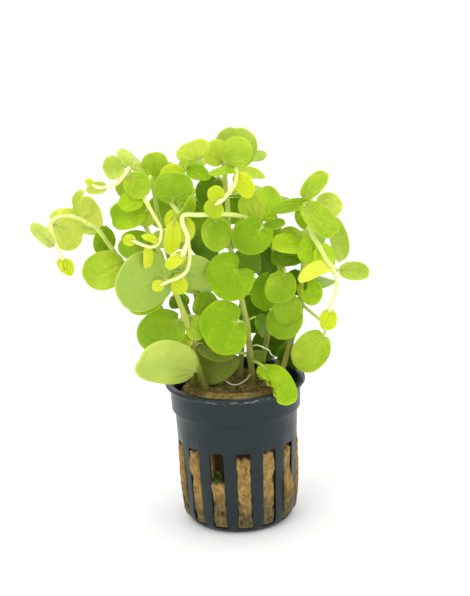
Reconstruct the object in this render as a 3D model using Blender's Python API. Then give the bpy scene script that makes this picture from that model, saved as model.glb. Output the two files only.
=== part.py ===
"""Lindernia rotundifolia growing from a plug of mineral wool in a 5 cm net pot.

The frame has +Z up and its origin at the centre of the pot's foot, on the table.
The side that the plant shows best looks along -Y. Every piece is its own object:
the pot, the wool plug, each stem with its small tip leaves and roots, and each
large leaf with its petiole.
"""
import math
from dataclasses import dataclass
from typing import Optional

import bmesh
import bpy
from mathutils import Matrix, Vector, noise

MM = 0.001
GAP = 0.3                      # clearance between touching pieces, in mm

# Net pot, in mm. The lip of the common 5 cm pot is the driving size.
LIP_RADIUS = 25.0
POT_HEIGHT = 52.0
LIP_THICK = 1.3
WALL = 0.9
COLLAR_RADIUS = 23.0
COLLAR_FOOT = 41.8             # height of the step under the collar
COLLAR_FLARE = 0.3             # how much the collar widens up to the lip
BODY_TOP_RADIUS = 21.9
BODY_FOOT_RADIUS = 20.4
CORNER_TOP = 7.0               # height where the rounded foot meets the wall
FOOT_RADIUS = 16.6
FLOOR_THICK = 1.2
POT_SIDES = 28
CORNER_STEPS = 2               # steps round the pot's rounded foot

# Slots in the pot's wall, in mm and degrees.
SLOT_COUNT = 14
SLOT_WIDTH = 5.1
SLOT_LOW = 2.0
SLOT_HIGH = 31.0
CUTTER_SPARE = 1.0             # the slot cutter reaches past the lip
FIRST_SLOT = 4.6               # the front slot stands this far right of the front
SLOT_PITCH = 360.0 / SLOT_COUNT

# Wool plug, in mm.
PLUG_LOW = FLOOR_THICK + GAP
PLUG_HIGH = 49.0
PLUG_TOP_RADIUS = 19.6
PLUG_SHOULDER = 1.2            # the rounded edge of the plug's top
PLUG_RINGS = (12.0, 5.0)       # radii of the rings on its top that carry the lumps
PLUG_LUMP = 0.5                # height of the lumps
LUMP_PITCH = 0.35              # lumps per mm
PLUG_SIDES = 28
PLUG_SLACK = 0.5               # the plug's body stays this far inside the wall
CORNER_SLACK = 1.0             # and this much more at the rounded foot
TONGUE_ROOT = 3.6              # the tongues start this far inside the foot's radius
TONGUE_SLACK = 0.4             # a tongue's low end lies this far inside the wall's outer side
STEM_SOCKET = 45.0             # the stems stand in the wool down to this height
SOCKET_SIDES = 6
SOCKET_SLACK = 0.1

# How the wool fills each slot, counted from the front to the right:
# the height that it reaches and how far it stands out of the wall, in mm.
SLOT_WOOL = (
    (29.5, 0.0), (30.5, 0.1), (30.5, 0.7), (30.0, 0.4), (30.5, 0.0), (28.0, 0.2), (30.5, 0.0),
    (29.0, 0.1), (30.5, 0.3), (30.5, 0.0), (30.0, 0.2), (30.5, 0.9), (30.5, 0.3), (20.0, 0.1),
)

# Leaf blades, in mm.
BLADE_THICK = 0.7
TEAR_NOTCH = 0.35              # depth of the notches along a torn edge
TEAR_RATE = 1.7                # how close those notches follow each other
TEAR_DEPTH = 0.7               # share of the torn side that its bite takes away
TEAR_MIDDLE = 0.48             # the bite's place and half its length, as shares of the leaf
TEAR_SPREAD = 0.19
WAVE_HEIGHT = 0.35             # waviness of the blades
WAVE_TURNS = 2.4
PETIOLE_RADIUS = 0.65
SMALL_PETIOLE_RADIUS = 0.45    # also half the width of a sessile leaf's foot
PETIOLE_ARCH = 0.17            # how far a petiole bows, as a share of its reach
SHORT_PETIOLE = 1.5            # a shorter petiole runs straight

# How rough each finish is, from 0 to 1.
LEAF_ROUGHNESS = 0.4
STEM_ROUGHNESS = 0.45
WOOL_ROUGHNESS = 0.95
PLASTIC_ROUGHNESS = 0.35

# Colours as sRGB values.
TONES = {
    "bright": (0.55, 0.76, 0.10),
    "mid": (0.50, 0.69, 0.14),
    "deep": (0.30, 0.50, 0.08),
    "pale": (0.70, 0.82, 0.40),
    "young": (0.80, 0.88, 0.20),
    "olive": (0.36, 0.42, 0.16),
    "stem": (0.66, 0.68, 0.28),
    "wool": (0.66, 0.52, 0.32),
    "plastic": (0.22, 0.25, 0.28),
}


@dataclass(frozen=True)
class Stem:
    """A stem: its route in mm, its radius at the foot and at the tip, and its tone."""

    name: str
    route: tuple
    foot_radius: float
    tip_radius: float
    tone: str = "stem"


@dataclass(frozen=True)
class Leaf:
    """A leaf where it grows on a stem.

    at: share of the stem's length from its foot to the leaf's node.
    lean: direction of the midrib seen from the front, clockwise from straight up.
    toward: how far the tip comes toward the front.
    look: where the upper side looks, as degrees to the right and degrees upward.
    stalk: reach from the stem's axis to the blade, in mm; by default the leaf's own way.
    lobe: how far the round base reaches behind the petiole, as a share of the length.
    cup and curl: slope reached at the sides and at the tip, in degrees.
    sharp: how far the tip is drawn to a point, from 0 to 1.
    torn: width of what is left on the torn side, in mm.
    """

    name: str
    stem: str
    at: float
    lean: float
    toward: float
    length: float
    width: float
    look: tuple = (0, 20)
    tone: str = "mid"
    stalk: Optional[tuple] = None
    lobe: float = 0.12
    cup: float = 18
    curl: float = -18
    sharp: float = 0.0
    torn: float = 0.0


STEMS = (
    Stem("stem_far_left", (
        (-15, 3, 45.3), (-15, 3, 50), (-19.5, 0, 66.5), (-25, -2, 79.5), (-31.5, -4, 89.5),
        (-37.5, -6, 98), (-44, -9, 109.5), (-47, -10, 112), (-50.5, -11, 114.5), (-54, -12, 115.5),
        (-57, -14, 115.5), (-59, -16, 114), (-58.5, -18, 111), (-57.5, -19, 107.5), (-56, -20, 104.5),
        (-55, -20, 101.5)), 1.1, 0.75),
    Stem("stem_front_left", (
        (-10.5, -4, 45.3), (-10.5, -4, 49.5), (-12.5, -7, 57.5), (-14, -9, 66.5), (-15.5, -11, 75.5),
        (-18, -13, 85), (-20.5, -14, 93), (-23.5, -14, 102), (-26.5, -11.5, 107.5), (-29.5, -6.5, 113),
        (-31.5, -3.5, 119.5), (-32.5, -4, 126), (-32.5, -8, 130), (-33, -12, 129.5), (-36, -15, 126.5),
        (-39, -16, 125.5), (-42, -17, 125.5), (-44.5, -18, 127)), 1.4, 0.65),
    Stem("stem_left_mid", (
        (-7.5, 4, 45.3), (-7.5, 4, 50), (-12, 3, 63.5), (-17, 2, 81), (-21.5, 1, 97.5), (-24, 0, 112),
        (-25, -2, 121), (-25.5, -6, 126.5), (-26.5, -10, 124), (-28, -13, 121.5), (-26.5, -15, 119),
        (-24.5, -17, 115.5), (-22.5, -18, 111.5), (-22.5, -19, 108.5), (-24, -20, 106),
        (-26.5, -20, 105.5), (-29.5, -21, 107), (-32.5, -21, 108.5)), 1.2, 0.6),
    Stem("stem_mid_hidden", (
        (-3, 0, 45.3), (-3, 0, 50), (-7.5, 1, 64), (-11, 0.5, 81), (-15, 0, 99.5), (-16.5, -1, 112.5),
        (-15.5, -2, 121), (-14.5, -4, 124.5), (-16.5, -7.5, 123), (-19, -10, 119), (-17.5, -12, 116.5),
        (-16, -13, 114), (-14.5, -13.5, 109.5), (-13.5, -14, 103.5), (-13.5, -15, 99.5),
        (-14.5, -16, 96), (-17, -17, 94), (-20.5, -18.8, 93.2), (-23.5, -20.3, 92.3)), 1.2, 0.65),
    Stem("stem_front", (
        (6, 0, 45.3), (6, 0, 50), (6, -1, 54.5), (5.5, -3, 64), (5, -5, 72.5), (3.5, -7, 82.5),
        (2, -8, 93), (0.5, -8, 100.5), (0, -6, 106.5), (0, -2, 115), (-0.5, 0, 124), (0.5, -2, 129.5),
        (3, -5, 129.5), (3.5, -9, 127.5), (3, -12, 124.5), (1, -14.5, 121.9), (-1.4, -17, 120),
        (-4, -18.5, 118.4)), 1.3, 0.8),
    Stem("stem_arch", (
        (9.5, 8, 45.3), (9.5, 8, 50), (11.5, 8, 61), (14, 7, 71.5), (16.5, 5, 80.5), (17.5, 2, 90),
        (15, 0, 99.5), (12, -3, 106), (8, -7, 109.5), (4, -10, 112.5), (-0.5, -13, 114),
        (-5, -15, 114.5), (-10, -17, 115), (-14.5, -19, 115.5), (-15, -21, 113), (-13.5, -21.5, 108.5),
        (-14.5, -22, 105), (-16, -22.5, 101.5)), 1.2, 0.85),
    Stem("stem_right_long", (
        (16, 1, 45.3), (16, 1, 50), (20, 2, 62.5), (23.5, 1, 72.5), (24.5, 0, 82), (25.5, -1, 93.5),
        (26.5, -2, 101.5), (27.5, -5, 106.5), (28.5, -8, 104), (30.5, -10.5, 101), (32.5, -12, 97),
        (35, -13, 93), (36, -14, 89), (35, -14.5, 84.5), (33.5, -15, 81), (33, -15, 78.5)), 1.2, 0.85),
    Stem("stem_right_top", (
        (14, 9, 45.3), (14, 9, 50), (19, 11, 60), (23.5, 11, 73), (26.5, 8, 88.5), (27.5, 6, 101.5),
        (27, 2, 110), (27.5, -1, 115), (29.5, -4, 115), (30.5, -7, 112.5), (30.5, -9, 110)), 1.2, 0.9),
    Stem("stem_back_left", (
        (-7, 10, 45.3), (-7, 10, 50), (-11, 15, 66.5), (-14, 19, 85), (-16, 20, 104.5),
        (-16, 18, 117.5), (-15, 12, 127)), 1.2, 0.8),
    Stem("stem_back_mid", (
        (2, 12, 45.3), (2, 12, 50), (4, 18, 68.5), (5, 24, 90.5), (5, 24, 109), (4.5, 20, 120.5),
        (6, 15, 129)), 1.2, 0.8),
    Stem("stem_back_right", (
        (9, 13.5, 45.3), (9, 13.5, 50), (15, 20, 64), (19, 26, 82.5), (19, 27, 98), (15, 24, 110)),
        1.2, 0.8),
)

# Leaves that are pieces of their own.
LARGE_LEAVES = (
    # On the far left stem.
    Leaf("leaf_left_outer", "stem_far_left", 0.55, -107, 20, 15, 13.8, (-10, 20), "mid",
         stalk=(0.9, -3, 0.4), lobe=0.06),
    Leaf("leaf_left_folded", "stem_far_left", 0.60, 0, 5, 10.6, 9.6, (40, 10), "mid",
         stalk=(-3.3, 3.2, -1.5), cup=8, curl=8, sharp=0.6),
    Leaf("leaf_far_left_back", "stem_far_left", 0.68, 72, -40, 11, 14.2, (20, 20), "pale",
         stalk=(-7.6, 6.9, 2.3), lobe=0.2),
    Leaf("leaf_far_left_upright", "stem_far_left", 0.77, 14, -5, 8.2, 8.4, (-60, 15), "mid",
         lobe=0.04, cup=40),
    Leaf("leaf_far_left_broad", "stem_far_left", 0.87, 118, -15, 11.6, 14.5, (0, 25), "pale",
         stalk=(0.8, 5, -1.2), lobe=0.3),
    Leaf("leaf_far_left_under", "stem_far_left", 0.91, -32, 10, 10.9, 5.6, (10, 150), "pale",
         stalk=(-0.4, -1.2, -3), lobe=0.07),
    # On the front left stem.
    Leaf("leaf_low_left_underside", "stem_front_left", 0.12, -63, 25, 24, 18.5, (0, 170), "pale",
         stalk=(-1.5, -1.8, -0.2), lobe=0.04, cup=10, curl=-6, sharp=-0.2),
    Leaf("leaf_low_left", "stem_front_left", 0.30, -127, 0, 17.6, 16.6, (-5, 30), "mid",
         stalk=(-3, 2.2, -1.2)),
    Leaf("leaf_left_large", "stem_front_left", 0.46, -89, 20, 18.6, 21.5, (0, 176), "pale",
         stalk=(-0.2, -2.2, -1.8), cup=12, curl=-8),
    Leaf("leaf_left_behind", "stem_front_left", 0.52, -69, -12, 13.4, 11.3, (0, 25), "mid",
         stalk=(-2.2, 2.4, 0.4)),
    Leaf("leaf_left_below", "stem_front_left", 0.41, -118, 0, 16, 13, (0, 20), "mid",
         stalk=(-3.6, 0.9, 0.8), lobe=0.04),
    Leaf("leaf_left_inner", "stem_front_left", 0.46, 108, -22, 15, 14, (0, 168), "pale",
         stalk=(2, 2.5, 0)),
    Leaf("leaf_front_arched", "stem_front_left", 0.31, 58, -25, 10.6, 10.8, (10, 20), "mid",
         stalk=(4.5, 3.5, -0.5), curl=-38),
    Leaf("leaf_front_low_grey", "stem_front_left", 0.21, 108, -5, 13, 11, (0, 30), "olive",
         stalk=(3, 0.5, 0)),
    Leaf("leaf_top_left_up", "stem_front_left", 0.82, 28, -60, 9.5, 12.5, (53, 38), "pale",
         cup=-20, curl=-30),
    Leaf("leaf_top_left_side", "stem_front_left", 0.84, -108, 15, 6.8, 8.8, (-10, 30), "pale",
         stalk=(-2, -0.8, 1.5), lobe=0.07),
    Leaf("leaf_top_left_right", "stem_front_left", 0.87, 141, 20, 8.4, 9.4, (0, 30), "mid"),
    # On the left middle stem.
    Leaf("leaf_top_upright", "stem_left_mid", 0.65, -10, -15, 10.9, 9.4, (10, 15), "mid",
         stalk=(1.7, 4.2, 0.7), lobe=0.07, cup=30, curl=16, sharp=-0.4),
    Leaf("leaf_bright_left", "stem_left_mid", 0.80, -101, -5, 14, 10.2, (0, 15), "bright",
         stalk=(-1.3, 2.4, -2.6), lobe=0.05, cup=26, curl=-26),
    Leaf("leaf_folded_hanging", "stem_left_mid", 0.79, 176, 0, 8.2, 9, (-25, 20), "mid",
         stalk=(-1.7, 3.6, -1.2), cup=40),
    # On the middle stem that the front leaves hide.
    Leaf("leaf_round_left", "stem_mid_hidden", 0.715, 9, 0, 9.8, 14, (0, 20), "mid",
         stalk=(1.1, -3.4, 1.2), lobe=0.25, cup=24, curl=26),
    Leaf("leaf_top_fan", "stem_mid_hidden", 0.64, -20, -10, 7.4, 12, (0, -25), "mid",
         stalk=(5.2, 0.8, 6.6), lobe=0.07, cup=10, curl=22, sharp=-0.2),
    Leaf("leaf_young_hanging", "stem_mid_hidden", 0.76, -169, 10, 11.5, 6.2, (10, 20), "young",
         stalk=(-1.4, -2.6, -2.2), lobe=0.04, cup=34),
    Leaf("leaf_young_round", "stem_mid_hidden", 0.78, 180, -5, 9, 7.2, (10, 20), "young",
         stalk=(0.8, 2, 0.1), lobe=0.07),
    # On the front stem.
    Leaf("leaf_front_bright", "stem_front", 0.246, -104, 22, 13.2, 19.5, (5, 15), "bright",
         stalk=(-3.9, -5.5, 3.1), lobe=0.3),
    Leaf("leaf_front_kidney", "stem_front", 0.442, -131, 8, 11.6, 17, (0, 20), "bright",
         stalk=(0.3, -2.6, 0.2), lobe=0.45),
    Leaf("leaf_low_olive", "stem_front", 0.147, -116, -15, 19.5, 16, (0, 10), "olive",
         stalk=(-6.3, -1, 0.3)),
    Leaf("leaf_torn", "stem_front", 0.123, 122, 56, 18.6, 11.2, (20, 40), "bright",
         stalk=(4.7, -8.5, -0.4), lobe=0.12, cup=14, curl=-27, torn=4.8),
    Leaf("leaf_centre_left", "stem_front", 0.609, -177, 25, 11.2, 10.3, (0, 20), "mid",
         stalk=(-4.1, -3.8, -0.2)),
    Leaf("leaf_centre_dark", "stem_front", 0.55, -160, -15, 13, 12, (-10, 30), "deep",
         stalk=(-6.4, 2.6, 0.8), lobe=0.07),
    Leaf("leaf_upper_dark", "stem_front", 0.717, -164, -5, 11.5, 12.5, (-10, 25), "deep",
         stalk=(-3, 4, 0), lobe=0.12),
    Leaf("leaf_top_middle", "stem_front", 0.752, -25, -5, 8.4, 9.6, (-10, 20), "mid"),
    Leaf("leaf_top_back", "stem_front", 0.806, 0, -15, 13.8, 14.8, (0, 20), "pale",
         stalk=(1.7, 5, -1.3)),
    Leaf("leaf_top_front", "stem_front", 0.825, 32, 0, 9.5, 10.7, (0, 10), "mid", stalk=(-1.6, -2, 1.2)),
    # On the arching stem.
    Leaf("leaf_centre_round", "stem_arch", 0.59, -128, 8, 10.2, 13, (0, 5), "bright",
         stalk=(-0.2, -7, 0.2), lobe=0.45),
    Leaf("leaf_pair_left", "stem_arch", 0.585, -22, -10, 10.1, 8.8, (-15, 15), "mid"),
    Leaf("leaf_pair_right", "stem_arch", 0.57, 27, -30, 12.8, 10, (15, 20), "bright",
         stalk=(-0.1, 3, 3.5), cup=24),
    Leaf("leaf_right_round", "stem_arch", 0.41, -164, 10, 11, 11, (0, 15), "mid",
         stalk=(1, -8.5, 0.6), lobe=0.12),
    Leaf("leaf_right_behind", "stem_arch", 0.39, -160, 0, 13.5, 10, (-10, 20), "bright",
         stalk=(-3.8, -1, 0), lobe=0.07),
    # On the long right stem.
    Leaf("leaf_right_upper", "stem_right_long", 0.59, -83, -22, 9.8, 8.8, (0, 25), "mid", cup=26),
    Leaf("leaf_right_bright", "stem_right_long", 0.57, -75, 20, 11.7, 8.1, (0, 45), "bright",
         stalk=(-1.2, -3.1, 0.8), lobe=0.07),
    Leaf("leaf_right_big", "stem_right_long", 0.33, -141, 7, 13.9, 12.6, (0, 20), "mid",
         stalk=(-1.9, -2.4, 1.6), lobe=0.07),
    Leaf("leaf_right_low_round", "stem_right_long", 0.36, -137, 10, 14.5, 13.2, (5, 20), "mid",
         stalk=(7.1, -1.5, -13), lobe=0.07),
    Leaf("leaf_right_tip_side", "stem_right_long", 0.84, 95, 5, 10.7, 7.1, (0, 30), "pale", lobe=0.04),
    # On the top right stem.
    Leaf("leaf_right_crown", "stem_right_top", 0.88, 44, -10, 12.2, 6.8, (0, 20), "mid",
         stalk=(-1.9, -1.6, 1.3), lobe=0.04, cup=26, curl=12),
    Leaf("leaf_right_arm", "stem_right_top", 0.84, -97, 15, 13.2, 5.2, (0, 20), "mid",
         stalk=(-0.4, -3.8, 2), lobe=0.07, cup=38, sharp=0.4),
    Leaf("leaf_right_front", "stem_right_top", 0.93, 135, 5, 14.6, 9.4, (5, 15), "mid",
         stalk=(-3.6, -6.3, 0.6), cup=30),
)

# Small leaves, grown together with their stem in one piece.
SMALL_LEAVES = (
    Leaf("far_left_bud", "stem_far_left", 0.99, 150, 10, 6, 5, (30, 20), "young"),
    Leaf("far_left_bud_twin", "stem_far_left", 0.99, -160, -10, 5, 5, (-30, 20), "young"),
    Leaf("low_right_of_stem", "stem_front_left", 0.28, 110, 10, 7.5, 9, (0, 20), "mid"),
    Leaf("yellow_shoot", "stem_front_left", 0.24, -140, 10, 5, 5, (-20, 20), "young"),
    Leaf("dark_under_node", "stem_front_left", 0.39, 168, -25, 8.5, 7.5, (0, 25), "deep"),
    Leaf("top_left_under", "stem_front_left", 0.77, -134, -15, 8, 8, (0, 30), "mid"),
    Leaf("top_left_tip", "stem_front_left", 0.95, -91, 0, 7, 5, (0, 30), "pale"),
    Leaf("top_left_bud", "stem_front_left", 0.99, -50, 0, 3.5, 2.5, (0, 30), "young"),
    Leaf("bright_left_twin", "stem_left_mid", 0.77, -107, 25, 9, 7, (0, 20), "bright"),
    Leaf("hook_hanging", "stem_left_mid", 0.95, 178, 0, 8, 5, (50, 20), "young"),
    Leaf("hook_bud", "stem_left_mid", 0.985, -70, 5, 4.5, 4, (0, 20), "young"),
    Leaf("hook_inner", "stem_left_mid", 0.91, -62, 20, 6.5, 3.5, (0, 60), "young"),
    Leaf("top_yellow", "stem_mid_hidden", 0.63, -60, -5, 9, 9, (0, 15), "young"),
    Leaf("top_bright", "stem_mid_hidden", 0.65, 110, 15, 9.2, 6, (0, 30), "bright",
         stalk=(1.9, -0.5, 4.5), lobe=0.04, sharp=0.6),
    Leaf("young_left", "stem_mid_hidden", 0.75, -156, 10, 7, 5.8, (0, 20), "young"),
    Leaf("folded_right", "stem_mid_hidden", 0.77, 35, 34, 11, 7.5, (40, 20), "mid", cup=45, sharp=0.5),
    Leaf("drop_round", "stem_mid_hidden", 0.94, -171, 0, 7, 6, (0, 20), "young"),
    Leaf("drop_thin", "stem_mid_hidden", 0.93, -111, 0, 6, 2.5, (0, 60), "young"),
    Leaf("drop_bud", "stem_mid_hidden", 0.99, -106, 0, 4.5, 4, (0, 20), "young"),
    Leaf("low_small", "stem_front", 0.14, 98, -5, 6, 4.2, (0, 20), "olive"),
    Leaf("arched_right", "stem_front", 0.265, 150, -32, 12, 7.4, (30, 20), "deep",
         stalk=(3.5, 0.8, 0.8), lobe=0.04),
    Leaf("dark_middle", "stem_front", 0.472, 104, -25, 13, 9, (0, 30), "deep"),
    Leaf("crown_left", "stem_front", 0.855, -84, 10, 9.4, 5.6, (0, 65), "bright"),
    Leaf("crown_yellow", "stem_front", 0.865, 149, 20, 9.6, 6.8, (0, 20), "young", cup=34, curl=-34),
    Leaf("crown_right", "stem_front", 0.855, 102, -15, 11, 4.6, (0, 40), "mid"),
    Leaf("crown_tip", "stem_front", 0.985, -139, 5, 6, 7, (0, 20), "young"),
    Leaf("crown_tip_twin", "stem_front", 0.98, -30, 5, 6, 6, (0, 20), "young"),
    Leaf("arch_tip", "stem_arch", 0.985, -125, 10, 7.5, 4.5, (0, 40), "young"),
    Leaf("arch_tip_twin", "stem_arch", 0.98, -140, -15, 6, 4.5, (0, 20), "young"),
    Leaf("right_middle", "stem_arch", 0.345, 168, 4, 11.5, 10, (0, 25), "mid", stalk=(1.3, -9, -0.6)),
    Leaf("centre_fold", "stem_arch", 0.65, -167, 0, 11, 8, (-30, 20), "mid", cup=50),
    Leaf("centre_point", "stem_arch", 0.57, 70, 10, 8.6, 4.6, (0, 40), "mid", cup=36),
    Leaf("centre_under", "stem_arch", 0.55, 125, 18, 8, 7, (0, 20), "mid"),
    Leaf("right_dark", "stem_right_long", 0.535, -88, 10, 12, 7.5, (0, 30), "deep"),
    Leaf("right_shadow", "stem_right_long", 0.47, -150, -20, 10.5, 9, (-20, 20), "deep"),
    Leaf("right_round", "stem_right_long", 0.44, 146, 5, 10.5, 8.6, (0, 20), "bright"),
    Leaf("right_folded", "stem_right_long", 0.83, -92, 20, 13, 8, (0, 60), "young", cup=48, curl=-40),
    Leaf("right_low_behind", "stem_right_long", 0.19, -178, -10, 12, 10, (-20, 20), "deep"),
    Leaf("right_tip", "stem_right_long", 0.985, -169, 5, 7.5, 7, (0, 20), "young", cup=55, curl=30),
    Leaf("right_hanging", "stem_right_long", 0.74, 158, -15, 12, 8.5, (15, 20), "bright"),
    Leaf("right_hanging_twin", "stem_right_long", 0.70, -163, 5, 10.5, 8, (0, 20), "bright"),
    Leaf("right_pale", "stem_right_top", 0.93, 100, -15, 9.2, 9.6, (0, 20), "pale", cup=34, curl=20),
    Leaf("right_small", "stem_right_top", 0.84, -165, -10, 9.5, 7, (-20, 20), "bright"),
    Leaf("right_back", "stem_right_top", 0.985, 166, -10, 17, 7.2, (15, 20), "pale",
         stalk=(5.4, 1, -2.5), lobe=0.07, cup=30),
    Leaf("far_left_back_pair", "stem_far_left", 0.40, -60, -45, 12, 13, (0, 70), "mid"),
    Leaf("left_mid_back_leaf", "stem_left_mid", 0.36, -20, -60, 13, 14, (0, 70), "mid"),
    Leaf("right_top_side_leaf", "stem_right_top", 0.45, 75, -35, 14, 14, (0, 75), "mid"),
    Leaf("right_top_back_leaf", "stem_right_top", 0.62, 20, -60, 13, 13, (0, 70), "mid"),
    Leaf("behind_front_stem", "stem_back_mid", 0.385, 176, 0, 17, 12, (0, 20), "deep",
         stalk=(2.9, -5, 0.9), lobe=0.07),
    Leaf("behind_low_right", "stem_back_right", 0.28, 168, 0, 13, 14, (0, 20), "deep",
         stalk=(-2.4, -6, 3.2), lobe=0.07),
    Leaf("behind_dark_middle", "stem_back_mid", 0.575, 150, 0, 12.5, 12, (0, 20), "deep",
         stalk=(5.9, -7.4, 0.1), lobe=0.07),
    Leaf("behind_arch_right", "stem_back_mid", 0.825, 184, 0, 12, 12, (0, 20), "mid",
         stalk=(-2.5, -5.2, -1.1), lobe=0.07),
    Leaf("behind_arch_left", "stem_back_left", 0.83, 150, 0, 12.5, 12, (0, 20), "mid",
         stalk=(3.2, -5.4, -0.9), lobe=0.07),
    Leaf("behind_folded", "stem_back_left", 0.855, -150, 0, 13, 12, (0, 20), "mid",
         stalk=(-4.1, -5, -0.8), lobe=0.07),
)

# Opposite pairs on the sides and the back, as (stem, share of its length, heading,
# length, width). The heading turns from the right toward the back.
LEAF_PAIRS = (
    ("stem_back_left", 0.42, 110, 14, 15),
    ("stem_back_left", 0.62, 20, 14, 15),
    ("stem_back_left", 0.81, 110, 13, 14),
    ("stem_back_left", 0.97, 40, 10, 10),
    ("stem_back_mid", 0.38, 60, 14, 15),
    ("stem_back_mid", 0.58, 150, 14, 15),
    ("stem_back_mid", 0.78, 60, 13, 14),
    ("stem_back_mid", 0.97, 150, 10, 10),
    ("stem_back_right", 0.45, 80, 14, 14),
    ("stem_back_right", 0.70, 170, 14, 15),
    ("stem_back_right", 0.96, 80, 11, 12),
)
PAIR_RISE = 20                 # how far the paired leaves point upward, in degrees
PAIR_LOOK = (0, 75)            # they look up, and a little toward the front

# Loose roots at the nodes of the front stem, as routes in mm.
ROOTS = (
    ((6, -1, 54), (4.2, -2.6, 52), (1.6, -3.4, 50.6), (-1, -3.4, 50.4), (-4, -3, 52.2)),
    ((5.6, -3, 64), (8, -5.6, 65.4), (10.6, -6, 64.4), (12.2, -5.8, 63.4), (13.2, -5.2, 61.4),
     (14.8, -4.4, 60.2)),
)
ROOT_RADIUS = 0.35
ROOT_STEP = 3.0
ROOT_SIDES = 4
ROOTED_STEM = "stem_front"


def srgb(colour: tuple) -> tuple:
    """Linear values, with alpha, of an sRGB colour."""
    linear = [c / 12.92 if c <= 0.04045 else ((c + 0.055) / 1.055) ** 2.4 for c in colour]
    return (*linear, 1.0)


def material(name: str, tone: str, roughness: float):
    """A Principled material of one tone."""
    made = bpy.data.materials.new(name)
    made.use_nodes = True
    shader = made.node_tree.nodes["Principled BSDF"]
    shader.inputs["Base Color"].default_value = srgb(TONES[tone])
    shader.inputs["Roughness"].default_value = roughness
    shader.inputs["Metallic"].default_value = 0.0
    made.diffuse_color = srgb(TONES[tone])
    return made


def add_object(name: str, mesh, tone: str, roughness: float, parent):
    """Link a mesh as a named object with its own material."""
    obj = bpy.data.objects.new(name, mesh)
    bpy.context.scene.collection.objects.link(obj)
    mesh.materials.append(material(name, tone, roughness))
    obj.parent = parent
    return obj


def smooth_route(points: tuple, step: float) -> list:
    """Points about step mm apart on a smooth curve through the given points."""
    knots = [Vector(p) for p in points]
    knots = [2 * knots[0] - knots[1]] + knots + [2 * knots[-1] - knots[-2]]
    route = []
    for before, start, end, after in zip(knots, knots[1:], knots[2:], knots[3:]):
        count = max(1, round((end - start).length / step))
        for i in range(count):
            t = i / count
            route.append(0.5 * (2 * start + (end - before) * t
                                + (2 * before - 5 * start + 4 * end - after) * t * t
                                + (3 * start - before - 3 * end + after) * t ** 3))
    route.append(knots[-2])
    return route


def tube(mesh_builder, route: list, radii: list, sides: int) -> None:
    """Add a closed tube along a route, with a radius at each point."""
    side = (route[1] - route[0]).orthogonal().normalized()
    rings = []
    for i, (point, radius) in enumerate(zip(route, radii)):
        ahead = route[min(i + 1, len(route) - 1)] - route[max(i - 1, 0)]
        ahead.normalize()
        side = (side - ahead * side.dot(ahead)).normalized()
        across = ahead.cross(side)
        rings.append([mesh_builder.verts.new(point + radius * (
            math.cos(math.tau * k / sides) * side + math.sin(math.tau * k / sides) * across))
            for k in range(sides)])
    for low, high in zip(rings, rings[1:]):
        for k in range(sides):
            j = (k + 1) % sides
            mesh_builder.faces.new((low[k], low[j], high[j], high[k]))
    mesh_builder.faces.new(reversed(rings[0]))
    mesh_builder.faces.new(rings[-1])


def finish_mesh(name: str, mesh_builder):
    """Scale the builder's mm to metres and return it as a mesh."""
    bmesh.ops.recalc_face_normals(mesh_builder, faces=mesh_builder.faces)
    bmesh.ops.scale(mesh_builder, vec=(MM, MM, MM), verts=mesh_builder.verts)
    mesh = bpy.data.meshes.new(name)
    mesh_builder.to_mesh(mesh)
    mesh_builder.free()
    mesh.shade_smooth()
    return mesh


# Stems

STEM_STEP = 12.0
STEM_SIDES = 5
STEM_BY_NAME = {stem.name: stem for stem in STEMS}


def stem_point(name: str, at: float) -> tuple:
    """The point, the direction and the radius of a stem at a share of its length."""
    stem = STEM_BY_NAME[name]
    route = smooth_route(stem.route, 1.0)
    lengths = [(b - a).length for a, b in zip(route, route[1:])]
    target = at * sum(lengths)
    for start, end, length in zip(route, route[1:], lengths):
        if target <= length:
            break
        target -= length
    point = start.lerp(end, min(1.0, target / length))
    return point, (end - start).normalized(), stem.foot_radius + (stem.tip_radius - stem.foot_radius) * at


def stem_mesh(stem: Stem):
    """The tapered tube of a stem."""
    route = smooth_route(stem.route, STEM_STEP)
    radii = [stem.foot_radius + (stem.tip_radius - stem.foot_radius) * i / (len(route) - 1)
             for i in range(len(route))]
    builder = bmesh.new()
    tube(builder, route, radii, STEM_SIDES)
    return finish_mesh(stem.name, builder)


# Leaves

LARGE_SPOKES = 13
SMALL_SPOKES = 5
BLADE_MIDDLE = 0.5             # share of the length where the blade is thickest

# Degrees from the midrib to the last spoke of the margin, by how the leaf starts.
LOBED_REACH = 150
ROUND_REACH = 132
WEDGE_REACH = 100
SESSILE_REACH = 78
WEDGE_LOBE = 0.08              # a leaf with less lobe than this has a wedge-shaped foot
ROUND_LOBE = 0.18              # and one with less than this has a round foot
MARGIN_START = 0.1             # the margin starts this far along the blade, in mm
STALK_REACH = 0.8              # a leaf without a given stalk starts this far past the stem's gap
SHORTEST_STALK = 0.4           # and at least this far past the start of its petiole


def direction(lean: float, toward: float) -> Vector:
    """Unit vector seen from the front: lean clockwise from up, toward the front."""
    turn, rise = math.radians(lean), math.radians(toward)
    return Vector((math.sin(turn) * math.cos(rise), -math.sin(rise), math.cos(turn) * math.cos(rise)))


def leaf_frame(leaf: Leaf) -> Matrix:
    """Rotation from blade axes (across, along, face) to the plant's."""
    along = direction(leaf.lean, leaf.toward)
    right, up = math.radians(leaf.look[0]), math.radians(leaf.look[1])
    face = Vector((math.sin(right) * math.cos(up), -math.cos(right) * math.cos(up), math.sin(up)))
    face = (face - along * face.dot(along)).normalized()
    across = along.cross(face)
    return Matrix((across, along, face)).transposed()


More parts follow.
